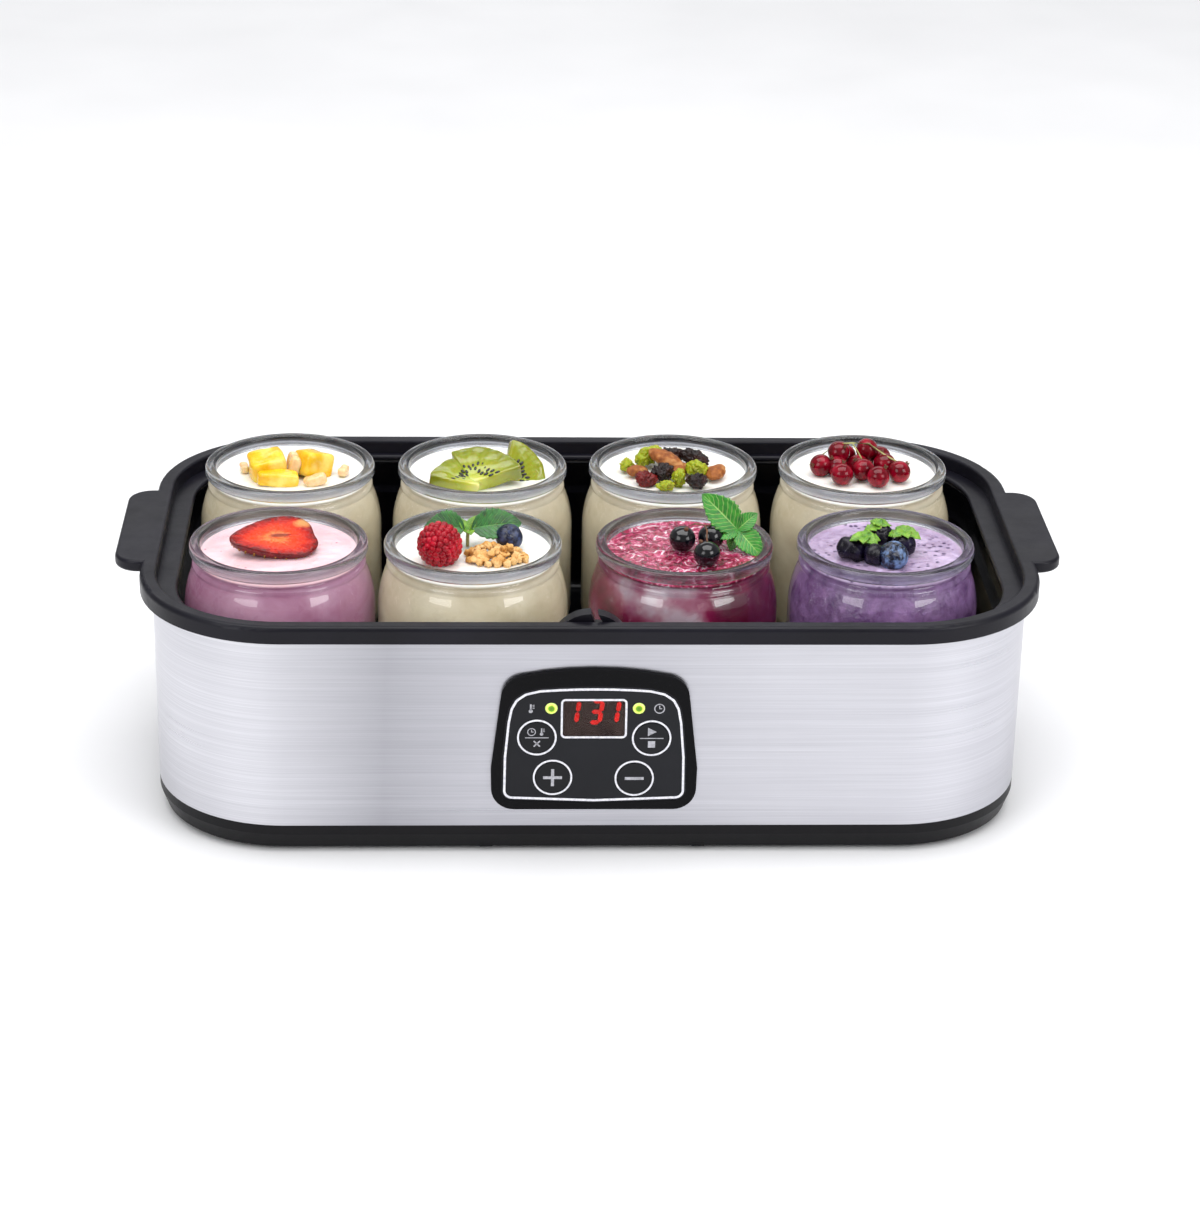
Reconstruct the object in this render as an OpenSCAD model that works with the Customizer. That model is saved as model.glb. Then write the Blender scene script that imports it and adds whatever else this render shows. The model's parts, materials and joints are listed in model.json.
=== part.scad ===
// Eight-jar yogurt maker with a digital control panel.
// Origin: middle of the footprint, on the surface it stands on. +X right, -Y front, +Z up.

/* [Case] */
// Width over the rim, without the handles
case_w = 358.5; // [358:0.5:380]
// Depth over the rim
case_d = 204; // [202:1:220]
// Corner radius of the rim
case_r = 58; // [56:1:60]
// Height of the rim's top face above the table
rim_top = 100; // [100:1:106]
// Height of the plastic base, feet included
base_top = 12.3; // [11:0.1:14]
// Height that the rubber feet stand out of the base
foot_h = 2; // [1.5:0.1:3]
// How far the rim overhangs the steel wrap
overhang = 5; // [4.6:0.1:5.2]
// Thickness of the steel wrap
steel_t = 0.8; // [0.5:0.1:0.8]

/* [Rim and handles] */
// Width of the rim's flat top
rim_flat = 6.5; // [6:0.1:6.8]
// Height of the rim's outer face
skirt_h = 7; // [6:0.1:7.5]
// Drop from the rim's top to the ledge inside it
ledge_drop = 6; // [5:0.1:6]
// How far each end handle reaches past the rim
handle_reach = 11.3; // [9:0.1:16]
// Length of each end handle along the side
handle_len = 76; // [60:1:82]
// Thickness of the handles
handle_t = 5; // [4:0.1:5.5]
// Height of the small locating tab on the front edge
tab_h = 2.8; // [1:0.1:4]

/* [Jars] */
// Greatest radius of a jar
jar_r = 38; // [35:0.5:38]
// Height of a jar
jar_h = 75.8; // [70:0.1:76]
// Outer radius of the jar's lip
lip_r = 35.4; // [34:0.1:36]
// Inner radius of the jar's mouth
mouth_r = 31; // [30:0.1:31]
// Glass thickness of the jar's side
glass_t = 2.4; // [2:0.1:3]
// Depth of the yogurt's surface below the lip
headspace = 5.2; // [4.5:0.1:8]
// Spacing of the jars along the case
pitch_x = 80.5; // [80:0.1:80.5]
// Spacing of the two rows of jars
pitch_y = 83; // [80:0.5:84]

/* [Controls] */
// How far the bezel stands out of the steel
bezel_out = 2; // [1.8:0.1:2.4]
// Radius of the key caps
key_r = 6.6; // [6:0.1:6.7]
// How far a key travels when it is pressed
key_travel = 0.8; // [0.4:0.1:0.9]
// Half the width of the display window
window_hx = 12; // [11.5:0.1:12.4]

/* [Heating] */
// Number of passes of the heating cable, an even number
heat_passes = 6; // [4:2:6]
// Radius of the heating cable
heat_r = 1.6; // [1.2:0.1:1.7]

/* [Hidden] */
$fn = 72;
fit = 0.1;                        // gap round pieces that lift out or slide in
screw_gap = 0.05;                 // gap round a screw in its hole
hx = case_w/2;
hy = case_d/2;
steel_in = overhang + steel_t;
steel_top = rim_top - skirt_h + 0.2;
ledge_z = rim_top - ledge_drop;
ledge_t = 2.5;
mouth_hx = hx - 14.75;            // opening of the rim over the tub
mouth_hy = hy - 9.3;
mouth_cr = case_r - 10;
tub_t = 1.5;
tub_hx = hx - 16.25;              // inside of the tub's lower wall
tub_hy = hy - 17;
tub_cr = case_r - 13;
step_z = rim_top - 20;            // where the tub widens to the rim's opening
tub_top = ledge_z - ledge_t - 1;
lip_z = rim_top + 11;
jar_z = lip_z - jar_h;            // what a jar stands on
jar_shift = [-3, -2.8, -3, -3.2, -3.5, -7, -3.3, -3.3];   // how far each stands off the grid
floor_low = jar_z - 1.7;          // underside of the tub's floor
shoulder_r = 42;                  // the long curve from a jar's belly to its neck
fill_h = jar_h - headspace;
fill_z = jar_z + fill_h;
base_taper = 2.2;
floor_t = 2.5;
base_in = foot_h + floor_t;       // top face of the base's floor
steel_y = -(hy - overhang);       // front face of the steel wrap
panel_y = steel_y - bezel_out;    // front face of the bezel
board_y = steel_y + 6.5;          // front face of the display board
board_t = 1.5;
tub_screw_x = hx - 9.85;
key_places = [[-22.5, 51.8], [22.2, 51.5], [-16.2, 34.4], [15.8, 34]];
led_places = [[-17, 64.2], [17, 64.2]];
window_x = -0.4;
window_low = 52.4;
window_high = 67.5;
board_screws = [[-42, 30], [42, 30], [-42, 72], [42, 72]];
base_screw_places = [[-150, -60], [150, -60], [-150, 60], [150, 60]];
foot_places = [[-126, -62], [126, -62], [-126, 62], [126, 62]];
power_corners = [[-62, -34], [42, -34], [-62, 34], [42, 34]];
power_z = 10;                     // underside of the power board
parts_z = power_z + 1.6;          // top face of the power board
heater_z = floor_low - 1.2;       // underside of the heater plate
heat_z = heater_z - heat_r - 0.05;
gland_x = 106;
gland_z = 25;
gland_bore = 3.5;
seam = 0.3;                       // gap between the two sheets of the wrap
rim_grey = "#3B3A42";
base_grey = "#302F38";
tub_black = "#101014";

// ---------- outlines and sweeps ----------

// Rectangle with round corners, given by half sizes
module rounded(a, b, r) {
  square([2*a, 2*(b - r)], center = true);
  square([2*(a - r), 2*b], center = true);
  for (x = [-1, 1], y = [-1, 1]) translate([x*(a - r), y*(b - r)]) circle(r);
}

// The case outline moved inward by d
module outline(d) {
  rounded(hx - d, hy - d, case_r - d);
}

// Sweeps a 2D profile round a rounded rectangle: profile x is outward, profile y is up
module around(a, b, r) {
  for (q = [0:3]) rotate([0, 0, 90*q]) {
    far = q % 2 == 0 ? a : b;
    side = q % 2 == 0 ? b : a;
    translate([far, side - r, 0]) rotate([90, 0, 0]) linear_extrude(2*(side - r)) children();
    translate([far - r, side - r, 0]) rotate_extrude(angle = 90) translate([r, 0]) children();
  }
}

// Flat plate standing on z = 0 with round corners r and edges rounded by e
module soft_plate(a, b, r, t, e) {
  around(a, b, r) {
    translate([-r, 0]) square([r - e, t]);
    translate([-e, e]) square([e, t - 2*e]);
    for (z = [e, t - e]) translate([-e, z]) circle(e);
  }
  linear_extrude(t) square([2*(a - r), 2*b - 2*r], center = true);
}

// Convex outline at distance r round a list of centres, counter-clockwise, as one polygon
module pad(centres, r) {
  polygon([for (i = [0:len(centres) - 1]) each corner_points(centres, i, r)]);
}

// Points of the arc round centre i, one for a slight bend and one every 12 degrees for a corner
function corner_points(c, i, r) = let(
  before = c[i] - c[(i + len(c) - 1) % len(c)],
  after = c[(i + 1) % len(c)] - c[i],
  start = atan2(before.y, before.x) - 90,
  turn = (atan2(after.y, after.x) - atan2(before.y, before.x) + 360) % 360,
  steps = ceil(turn/12))
  turn < 12 ? [c[i] + r*[cos(start + turn/2), sin(start + turn/2)]]
  : [for (j = [0:steps]) c[i] + r*[cos(start + turn*j/steps), sin(start + turn*j/steps)]];

// Extrudes a shape drawn in X and Z from y_back forward to y_front
module facing(y_back, y_front) {
  translate([0, y_back, 0]) rotate([90, 0, 0]) linear_extrude(y_back - y_front) children();
}

module screw(head_r, head_h, shank_r, length) {   // head on z = 0, shank going up
  translate([0, 0, -head_h]) cylinder(r = head_r, h = head_h);
  cylinder(r = shank_r, h = length);
}

// Copies its children to each of the four corners given
module at(places) {
  for (p = places) translate([p.x, p.y, 0]) children();
}

// ---------- case ----------

module base_tray() color(base_grey) {
  difference() {
    union() {
      around(hx, hy, case_r) polygon([
        [-overhang, base_top], [-overhang, base_top - 4], [-overhang - base_taper, foot_h],
        [-overhang - base_taper - 3, foot_h], [-steel_in - 2.7, base_in + 1],
        [-steel_in - 2.7, base_top + 3.5], [-steel_in - fit, base_top + 3.5],
        [-steel_in - fit, base_top]]);
      translate([0, 0, foot_h]) linear_extrude(floor_t) outline(overhang + base_taper + 2);
      at(base_screw_places) translate([0, 0, foot_h]) cylinder(r = 5, h = 6);
      at(power_corners) translate([0, 0, foot_h]) cylinder(r = 3.5, h = power_z - foot_h);
      for (x = [-1, 1]) translate([x*42 - 2.5, board_y - 4.9, foot_h]) cube([5, 4.9, 75]);
    }
    at(base_screw_places) {
      translate([0, 0, foot_h - 1]) cylinder(r = 3.2, h = 3.6);
      cylinder(r = 1.5 + screw_gap, h = 20);
    }
    at(foot_places) translate([0, 0, foot_h - 1]) cylinder(r = 9, h = 2.2);
    at(power_corners) translate([0, 0, foot_h + 2]) cylinder(r = 1.1 + screw_gap, h = 20);
    for (p = board_screws) translate([p.x, board_y + 1, p.y]) rotate([90, 0, 0])
      cylinder(r = 1.1 + screw_gap, h = 5);
    for (i = [-3:3]) translate([i*12 - 1.5, 40, 0]) cube([3, 24, 20]);
  }
}

module rubber_feet() color("#1C1C1E") at(foot_places) {
  cylinder(r1 = 7.6, r2 = 8.4, h = foot_h);
  translate([0, 0, foot_h]) cylinder(r = 8.9, h = 1.2);
}

module base_screws() color("silver") at(base_screw_places)
  translate([0, 0, foot_h + 2.6]) screw(2.9, 2, 1.5, 15);

// Half of the wrap, which is two bent sheets that meet in a seam at each end of the case
module wrap_sheet(side) {
  translate([0, 0, base_top]) linear_extrude(steel_top - base_top) intersection() {
    difference() {
      outline(overhang);
      outline(steel_in);
    }
    translate([-hx, side > 0 ? seam/2 : -hy - seam/2]) square([2*hx, hy]);
  }
}

module steel_wrap_front() color("#D2D2D6") difference() {
  wrap_sheet(-1);
  facing(steel_y + 5, steel_y - 5) panel_window(0);
}

module steel_wrap_back() color("#D2D2D6") difference() {
  wrap_sheet(1);
  translate([gland_x, hy, gland_z]) rotate([90, 0, 0]) cylinder(r = 6.1, h = 12);
}

module rim_collar() color(rim_grey) {
  difference() {
    union() {
      around(hx, hy, case_r) rim_profile();
      translate([0, 0, ledge_z - ledge_t]) linear_extrude(ledge_t) difference() {
        outline(steel_in + 0.05);
        rounded(mouth_hx + 1.2, mouth_hy + 1.2, mouth_cr + 1.2);
      }
      around(mouth_hx, mouth_hy, mouth_cr) translate([0, ledge_z - ledge_t]) {
        translate([ledge_t/2, ledge_t/2]) circle(ledge_t/2);
        translate([ledge_t/2, 0]) square([0.4, ledge_t]);
      }
    }
    for (x = [-1, 1], y = [-1, 1]) translate([x*tub_screw_x, y*22, 0])
      cylinder(r = 1.2 + screw_gap, h = ledge_z - 0.5);
  }
  intersection() {
    translate([0, 0, rim_top - handle_t])
      soft_plate(hx + handle_reach, handle_len/2, 10, handle_t, 1.4);
    union() for (x = [-1, 1]) translate([x*(hx + 8) - 10, -60, 0]) cube([20, 120, 200]);
  }
  locating_tab();
}

module rim_profile() {
  top = rim_top;
  translate([-2.2, top - skirt_h]) square([2.2, skirt_h - 2]);
  translate([-2, top - 2]) circle(2);
  translate([1.2 - rim_flat, top - 2.6]) square([rim_flat - 3.2, 2.6]);
  translate([-rim_flat, steel_top]) square([2.2, top - 1.2 - steel_top]);
  translate([1.2 - rim_flat, top - 1.2]) circle(1.2);
}

// Low arched tab with a notch, on the inner edge of the front rim
module locating_tab() {
  span = 28;
  rise = tab_h + ledge_drop;
  bend = (span*span/4 + rise*rise)/(2*rise);
  facing(-mouth_hy + 3.2, -(hy - rim_flat - 0.2)) difference() {
    translate([-2, ledge_z + rise - bend]) circle(bend);
    translate([-2 - span, ledge_z - 0.5 - 2*bend]) square([2*span, 2*bend]);
    translate([0, ledge_z + 4]) polygon([[-0.4, 0], [3.2, -0.2], [-1.6, rise], [-3.4, rise]]);
  }
}

module inner_tub() color(tub_black) {
  difference() {
    union() {
      translate([0, 0, floor_low]) linear_extrude(step_z - floor_low)
        rounded(tub_hx + tub_t, tub_hy + tub_t, tub_cr + tub_t);
      translate([0, 0, step_z - tub_t]) linear_extrude(tub_top - step_z + tub_t)
        rounded(mouth_hx + 2.1, mouth_hy + 2.1, mouth_cr + 2.1);
      translate([0, 0, tub_top - 1.8]) linear_extrude(1.8) outline(steel_in + 0.4);
      at(base_screw_places) translate([0, 0, foot_h + 6.05])
        cylinder(r = 4.5, h = floor_low - foot_h - 6);
    }
    translate([0, 0, jar_z]) linear_extrude(rim_top) rounded(tub_hx, tub_hy, tub_cr);
    translate([0, 0, step_z]) linear_extrude(rim_top)
      rounded(mouth_hx + 0.6, mouth_hy + 0.6, mouth_cr + 0.6);
    at(base_screw_places) cylinder(r = 1.5 + screw_gap, h = 24);
    for (x = [-1, 1], y = [-1, 1]) translate([x*tub_screw_x, y*22, step_z])
      cylinder(r = 1.2 + screw_gap, h = 40);
  }
  around(tub_hx, tub_hy, tub_cr) translate([-4, jar_z - 0.2]) difference() {
    square([4.2, 4.2]);
    translate([0, 4.2]) circle(4);
  }
}

module tub_seal() color("#4A4A4E") translate([0, 0, tub_top]) linear_extrude(1) difference() {
  rounded(mouth_hx + 3, mouth_hy + 3, mouth_cr + 3);
  rounded(mouth_hx + 1.4, mouth_hy + 1.4, mouth_cr + 1.4);
}

module tub_screws() color("silver") for (x = [-1, 1], y = [-1, 1])
  translate([x*tub_screw_x, y*22, tub_top - 1.8]) screw(2.5, 1.6, 1.2, 4.8);

// ---------- controls ----------

// Outline of the bezel: straight bottom, leaning sides and an arched top
module bezel_outline() {
  pad(concat([[-31.4, 38], [-31.2, 29.4], [31.2, 29.4], [31.4, 38]], arch(27.6, 69, 71.9)), 9);
}

// Outline of the printed border, made smaller by d
module border_outline(d) {
  side = [[31.8, 43], [30.5, 57.5], [29.5, 63], [28.1, 65.7], [25.6, 67.5]];
  left = [for (i = [len(side) - 1:-1:0]) [-side[i].x, side[i].y]];
  pad(concat([[-32, 28.6], [0, 27.4], [32, 28.6]], side, arch(20.9, 68.7, 69.5), left), 3.5 - d);
}

// Opening in the steel behind the bezel, made smaller by d
module panel_window(d) {
  translate([0, 49]) rounded(31.5 - d, 23.5 - d, 4);
}

// Points along a shallow arch from (a, low) up to (0, high) and down to (-a, low)
function arch(a, low, high) = let(rise = high - low, r = (a*a + rise*rise)/(2*rise), half = asin(a/r))
  [for (i = [3:-1:-3]) [r*sin(half*i/3), high - r + r*cos(half*i/3)]];

module key_holes(r) {
  for (p = key_places) translate(p) circle(r);
}

module window_outline(d) {
  translate([window_x, (window_low + window_high)/2])
    rounded(window_hx + d, (window_high - window_low)/2 + d, 1 + max(d, 0));
}

module control_bezel() color("#1A1A20") {
  difference() {
    facing(steel_y, panel_y) bezel_outline();
    facing(steel_y, panel_y - 1) panel_window(1.1);
    facing(panel_y + 1, panel_y - 1) border_outline(-0.8);
  }
  facing(steel_y + 2.4, steel_y) difference() {
    panel_window(fit);
    panel_window(1.1);
  }
}

module control_panel() color("#2F3136") difference() {
  facing(panel_y + 1, panel_y + 0.2) border_outline(-0.75);
  facing(panel_y + 2, panel_y - 1) key_holes(key_r + 0.2);
  facing(panel_y + 2, panel_y - 1) window_outline(0.1);
  facing(panel_y + 2, panel_y - 1) for (p = led_places) translate(p) circle(2.5);
}

module panel_trim() color("#E8E8EE") {
  difference() {
    facing(panel_y + 0.2, panel_y) border_outline(0);
    facing(panel_y + 1, panel_y - 1) border_outline(0.9);
  }
  difference() {
    facing(panel_y + 0.2, panel_y) {
      key_holes(7.7);
      window_outline(0.9);
    }
    facing(panel_y + 1, panel_y - 1) {
      key_holes(key_r + 0.4);
      window_outline(0.1);
    }
  }
}

module display_window() color("#4A3F3C") facing(panel_y + 1.2, panel_y + 0.1) window_outline(0);

module display_module() color("#202024")
  facing(board_y, panel_y + 1.8) translate([0, 60]) square([27, 18], center = true);

// Seven-segment figures: "131"
module display_digits() color("red") facing(panel_y + 1.8, panel_y + 1.5) {
  digit(-8.6, [1, 2]);
  digit(0.5, [0, 1, 2, 3, 6]);
  digit(7, [1, 2]);
}

// One leaning figure made of the segments listed, numbered clockwise from the top, middle last
module digit(x, lit) {
  w = 3.8;
  h = 9.1;
  t = 1.7;
  ends = [[[0, h], [w, h]], [[w, h], [w, h/2]], [[w, h/2], [w, 0]], [[w, 0], [0, 0]],
    [[0, 0], [0, h/2]], [[0, h/2], [0, h]], [[0, h/2], [w, h/2]]];
  function lean(p) = [p.x + 0.13*p.y, p.y];
  for (s = lit) {
    a = lean(ends[s][0]);
    b = lean(ends[s][1]);
    along = (b - a)/norm(b - a);
    cross = [-along.y, along.x]*t/2;
    p = a + along*0.95;
    q = b - along*0.95;
    translate([x - w/2 - 0.6, 57.6]) polygon([p - along*t/2, p + cross, q + cross,
      q + along*t/2, q - cross, p - cross]);
  }
}

module status_leds() color("#A6D82E") for (p = led_places) {
  facing(board_y, panel_y + 0.6) translate(p) circle(2.4);
  translate([p.x, panel_y + 0.6, p.y]) rotate([90, 0, 0]) cylinder(r1 = 2.4, r2 = 1.8, h = 0.5);
}

module display_board() color("#1F5B3A") facing(board_y + board_t, board_y) difference() {
  translate([0, 51]) square([89, 52], center = true);
  for (p = board_screws) translate(p) circle(1.1 + screw_gap);
}

module display_board_screws() color("silver") for (p = board_screws)
  translate([p.x, board_y + board_t, p.y]) rotate([90, 0, 0]) screw(2.2, 1.3, 1.1, 5);

module tact_switches() color("#3A3A3E") for (p = key_places) {
  facing(board_y, board_y - 3.3) translate(p) square([6, 6], center = true);
  facing(board_y - 3.3, board_y - 3.9) translate(p) circle(1.7);
}

// One key: cap, flange behind the panel, and a stem that presses its switch
module key_cap(p) {
  facing(panel_y + 1.2, panel_y - 0.1) translate(p) circle(key_r);
  facing(panel_y + 2.1, panel_y + 1.1) translate(p) circle(key_r + 0.8);
  facing(board_y - 3.95 - key_travel, panel_y + 2.1) translate(p) circle(2);
}

module set_key() color("#2A2B30") key_cap(key_places[0]);
module start_key() color("#2A2B30") key_cap(key_places[1]);
module plus_key() color("#2A2B30") key_cap(key_places[2]);
module minus_key() color("#2A2B30") key_cap(key_places[3]);

// Flat ribbon: down behind the display board, round a bend and back to the power board
module ribbon_cable() color("#9A9AA2") translate([20, board_y + board_t + 0.1, 0]) {
  drop = parts_z + 6;
  bend = 5;
  translate([-7, 0, drop]) cube([14, 0.8, 27 - drop + 6]);
  translate([7, bend, drop]) rotate([0, -90, 0]) linear_extrude(14) intersection() {
    difference() {
      circle(bend);
      circle(bend - 0.8);
    }
    translate([-bend, -bend]) square(bend);
  }
  translate([-7, bend, drop - bend]) cube([14, 47, 0.8]);
  translate([-8, 51.2, parts_z]) cube([16, 6, 4]);
}

// ---------- heating and power ----------

module heater_plate() color("#B9BCC0") translate([0, 0, heater_z]) linear_extrude(1.2)
  rounded(tub_hx - 26, tub_hy - 16, 36);

module heating_cable() color("#C9552E") {
  pitch = 22;
  reach = 112;
  first = -pitch*(heat_passes - 1)/2;
  translate([0, 0, heat_z]) {
    for (i = [0:heat_passes - 1]) translate([-reach, first + i*pitch, 0]) rotate([0, 90, 0])
      cylinder(r = heat_r, h = 2*reach);
    for (i = [0:heat_passes - 2]) translate([i % 2 == 0 ? reach : -reach, first + (i + 0.5)*pitch, 0])
      rotate([0, 0, i % 2 == 0 ? -90 : 90]) rotate_extrude(angle = 180)
        translate([pitch/2, 0]) circle(heat_r);
    for (y = [first, -first]) translate([-reach, y, -8]) rotate([90, 0, 0])
      rotate([0, 0, 90]) rotate_extrude(angle = 90) translate([8, 0]) circle(heat_r);
    for (y = [first, -first]) translate([-reach - 8, y, -14]) cylinder(r = heat_r, h = 6);
  }
}

module thermal_fuse() color("#D8D8DA") translate([-46, 0, heater_z - 2.6]) rotate([0, 90, 0]) {
  cylinder(r = 2.5, h = 14);
  translate([0, 0, -9]) cylinder(r = 0.6, h = 32);
}

module temperature_sensor() color("#2C4E7A") translate([46, 0, 0]) {
  translate([0, 0, heater_z - 5]) cylinder(r = 3, h = 4.95);
  translate([0, 0, heater_z - 6.2]) cylinder(r = 5, h = 1.2);
}

module power_board() color("#2E6B3F") translate([0, 0, power_z]) linear_extrude(1.6) difference() {
  translate([-10, 0]) rounded(56, 38, 2);
  for (p = power_corners) translate(p) circle(1.1 + screw_gap);
}

module power_board_screws() color("silver") at(power_corners)
  translate([0, 0, parts_z]) rotate([180, 0, 0]) screw(2.2, 1.3, 1.1, 6.5);

module relay() color("#2A62A8") translate([8, -12, parts_z]) cube([19, 15.5, 14]);

module transformer() color("#C9A13A") translate([-22, -22, parts_z]) {
  cube([22, 18, 4]);
  translate([2, 3, 4]) cube([18, 12, 8]);
  translate([0, 0, 12]) cube([22, 18, 3]);
}

module capacitors() color("#3B3B6E") for (c = [[-30, 14, 5, 13], [-14, 16, 4, 11], [0, 16, 4, 11]])
  translate([c[0], c[1], parts_z]) cylinder(r = c[2], h = c[3]);

module terminal_block() color("#4C8A4A") translate([-58, -12, parts_z]) difference() {
  cube([9, 24, 10]);
  for (i = [0:2]) translate([-1, 4 + i*8, 4]) rotate([0, 90, 0]) cylinder(r = 1.6, h = 7);
  for (i = [0:2]) translate([5, 4 + i*8, 6]) cylinder(r = 1.8, h = 5);
}

// Bush in the back wall that the supply lead passes through
module cord_gland() color("#1C1C1E") translate([gland_x, 0, gland_z]) {
  wall = hy - overhang;
  rotate([-90, 0, 0]) difference() {
    union() {
      translate([0, 0, wall]) cylinder(r = 8.5, h = 1.6);
      translate([0, 0, wall + 1.6]) cylinder(r1 = 6.6, r2 = 5.6, h = 2.8);
      translate([0, 0, wall - 5]) cylinder(r = 6, h = 5.2);
      translate([0, 0, wall - 4]) cylinder(r = 7.6, h = 4 - steel_t);
    }
    cylinder(r = gland_bore, h = 2*hy);
    cylinder(r = gland_bore + 0.8, h = wall + 1);
  }
}

// ---------- jars and what is in them ----------

// Jars 0 to 3 are the back row from the left, 4 to 7 the front row
function jar_place(i) =
  [(i % 4 - 1.5)*pitch_x + jar_shift[i], i < 4 ? pitch_y/2 : -pitch_y/2, jar_z];

// Half outline of the jar's body, moved inward by d and standing on z = bottom
module jar_body(d, bottom) {
  foot = 12 - d;
  low = 12;
  high = jar_h - 28;
  square_from(0, bottom, jar_r - 12, high);
  square_from(0, low, jar_r - d, high);
  intersection() {
    translate([jar_r - 12, low]) circle(foot);
    square_from(0, bottom, jar_r, high);
  }
  intersection() {
    translate([jar_r - shoulder_r, high]) circle(shoulder_r - d);
    square_from(0, low, jar_r, jar_h - 6);
  }
}

module square_from(x0, y0, x1, y1) {
  translate([x0, y0]) square([x1 - x0, y1 - y0]);
}

module jar() rotate_extrude() difference() {
  union() {
    jar_body(0, 0);
    square_from(0, jar_h - 28, lip_r - 2.6, jar_h - 4);
    translate([lip_r - 2.3, jar_h - 9.2]) circle(1.3);
    square_from(0, jar_h - 4.4, lip_r - 1.6, jar_h);
    square_from(0, jar_h - 3.4, lip_r, jar_h - 1.6);
    for (z = [jar_h - 3.2, jar_h - 1.6]) translate([lip_r - 1.6, z]) circle(1.6);
  }
  difference() {
    union() {
      jar_body(glass_t, 3.6);
      square_from(0, jar_h - 30, mouth_r, jar_h + 1);
    }
    translate([mouth_r, jar_h - 1]) difference() {
      square_from(-1.5, 0, 1, 3);
      translate([1.4, 0]) circle(1.4);
    }
  }
}

module yogurt() rotate_extrude() {
  jar_body(glass_t + fit, 3.6 + fit);
  square_from(0, jar_h - 30, mouth_r - fit, fill_h);
}

module jar_at(i) translate(jar_place(i)) jar();
module yogurt_at(i) translate(jar_place(i)) yogurt();

module jar_1() color("#DDE3E6", 0.4) jar_at(0);
module jar_2() color("#DDE3E6", 0.4) jar_at(1);
module jar_3() color("#DDE3E6", 0.4) jar_at(2);
module jar_4() color("#DDE3E6", 0.4) jar_at(3);
module jar_5() color("#DDE3E6", 0.4) jar_at(4);
module jar_6() color("#DDE3E6", 0.4) jar_at(5);
module jar_7() color("#DDE3E6", 0.4) jar_at(6);
module jar_8() color("#DDE3E6", 0.4) jar_at(7);
module yogurt_1() color("#F4F1EA") yogurt_at(0);
module yogurt_2() color("#F4F1EA") yogurt_at(1);
module yogurt_3() color("#F4F1EA") yogurt_at(2);
module yogurt_4() color("#F4F1EA") yogurt_at(3);
module yogurt_5() color("#F3C3CF") yogurt_at(4);
module yogurt_6() color("#F4F1EA") yogurt_at(5);
module yogurt_7() color("#A01546") yogurt_at(6);
module yogurt_8() color("#A98FC8") yogurt_at(7);

// Stands its children on the yogurt in jar i, and cuts off what would sink below the surface
module on_yogurt(i) {
  place = jar_place(i);
  translate([place.x, place.y, fill_z + 0.02]) intersection() {
    union() children();
    translate([-30, -30, 0]) cube([60, 60, 60]);
  }
}

module ball(x, y, z, r) {
  translate([x, y, z]) sphere(r);
}

module block(x, y, z, turn, tilt, size) {
  translate([x, y, z]) rotate([tilt, 0, turn]) cube(size, center = true);
}

// Leaf lying along +X from its stalk, pointed at both ends
module leaf(length, width, t) {
  r = (length*length + width*width)/(4*width);
  linear_extrude(t) intersection() {
    translate([length/2, r - width/2]) circle(r);
    translate([length/2, width/2 - r]) circle(r);
  }
}

module mango_cubes() color("#F5B921") on_yogurt(0) {
  block(-12, -2, 3.5, 15, 8, [10, 10, 9]);
  block(0, -6, 3, -20, -6, [11, 9, 8]);
  block(9, -1, 3.5, 35, 10, [10, 9, 9]);
  block(-3, 5, 4, 60, 5, [10, 9, 9]);
  block(14, 6, 3, 10, -8, [8, 8, 8]);
}

module kiwi_pieces() color("#A9B83A") on_yogurt(1) {
  block(-10, 0, 4, 20, 20, [14, 10, 9]);
  block(3, -5, 3, -15, -15, [16, 9, 8]);
  block(13, 4, 5, 70, 15, [12, 9, 10]);
  block(-4, 8, 5, 5, 25, [12, 8, 9]);
}

module nuts_and_raisins() color("#6B4A26") on_yogurt(2) {
  for (a = [0:40:320]) ball(13*cos(a), 11*sin(a), 2.4, 3.8);
  for (a = [20:72:308]) ball(6*cos(a), 5*sin(a), 5, 4);
  ball(-8, 12, 5, 4);
}

module red_currants() color("#B3122A") on_yogurt(3) {
  for (a = [0:60:300]) ball(11.5*cos(a), 9.5*sin(a), 3.6, 4.2);
  ball(0, 0, 3.9, 4.2);
  ball(-3.5, 6, 11.3, 4.2);
  ball(5, 6, 11.3, 4.2);
}

module strawberry_half() color("#D8331F") on_yogurt(4) difference() {
  hull() {
    translate([8, 1, 0]) sphere(9.5, $fn = 32);
    translate([-14, -2, 0]) sphere(3.5, $fn = 32);
  }
  translate([-40, -40, 7]) cube([80, 80, 20]);
}

module berries_and_granola() color("#B8343C") on_yogurt(5) {
  ball(-12, -4, 6.5, 8.2);
  ball(12, 4, 4.5, 5.6);
  translate([-2, 8, 5.5]) rotate([0, -12, 150]) leaf(18, 10, 1.2);
  translate([0, 8, 5.5]) rotate([0, -12, 25]) leaf(18, 10, 1.2);
  translate([-1, 8, 0]) cylinder(r = 2, h = 6.5);
  for (a = [0:60:300]) block(8 + 5*cos(a), -10 + 4*sin(a), 2, a, 12, [6, 5, 5]);
}

module blackcurrants_and_mint() color("#1B1B26") on_yogurt(6) {
  ball(-6, 2, 5, 5.6);
  ball(5, 4, 5.2, 5.6);
  ball(0.5, -5.5, 5, 5.6);
  translate([17.5, 7, 0]) {
    cylinder(r = 1, h = 13);
    translate([0, 0, 12]) rotate([0, -48, 172]) leaf(15.5, 9, 1);
    translate([0, 0, 8]) rotate([0, -22, 8]) leaf(11, 8, 1);
    translate([0, 0, 8]) rotate([0, 25, -35]) leaf(12, 8, 1);
    translate([0, 0, 7]) rotate([0, 10, -120]) leaf(11, 7, 1);
  }
}

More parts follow.
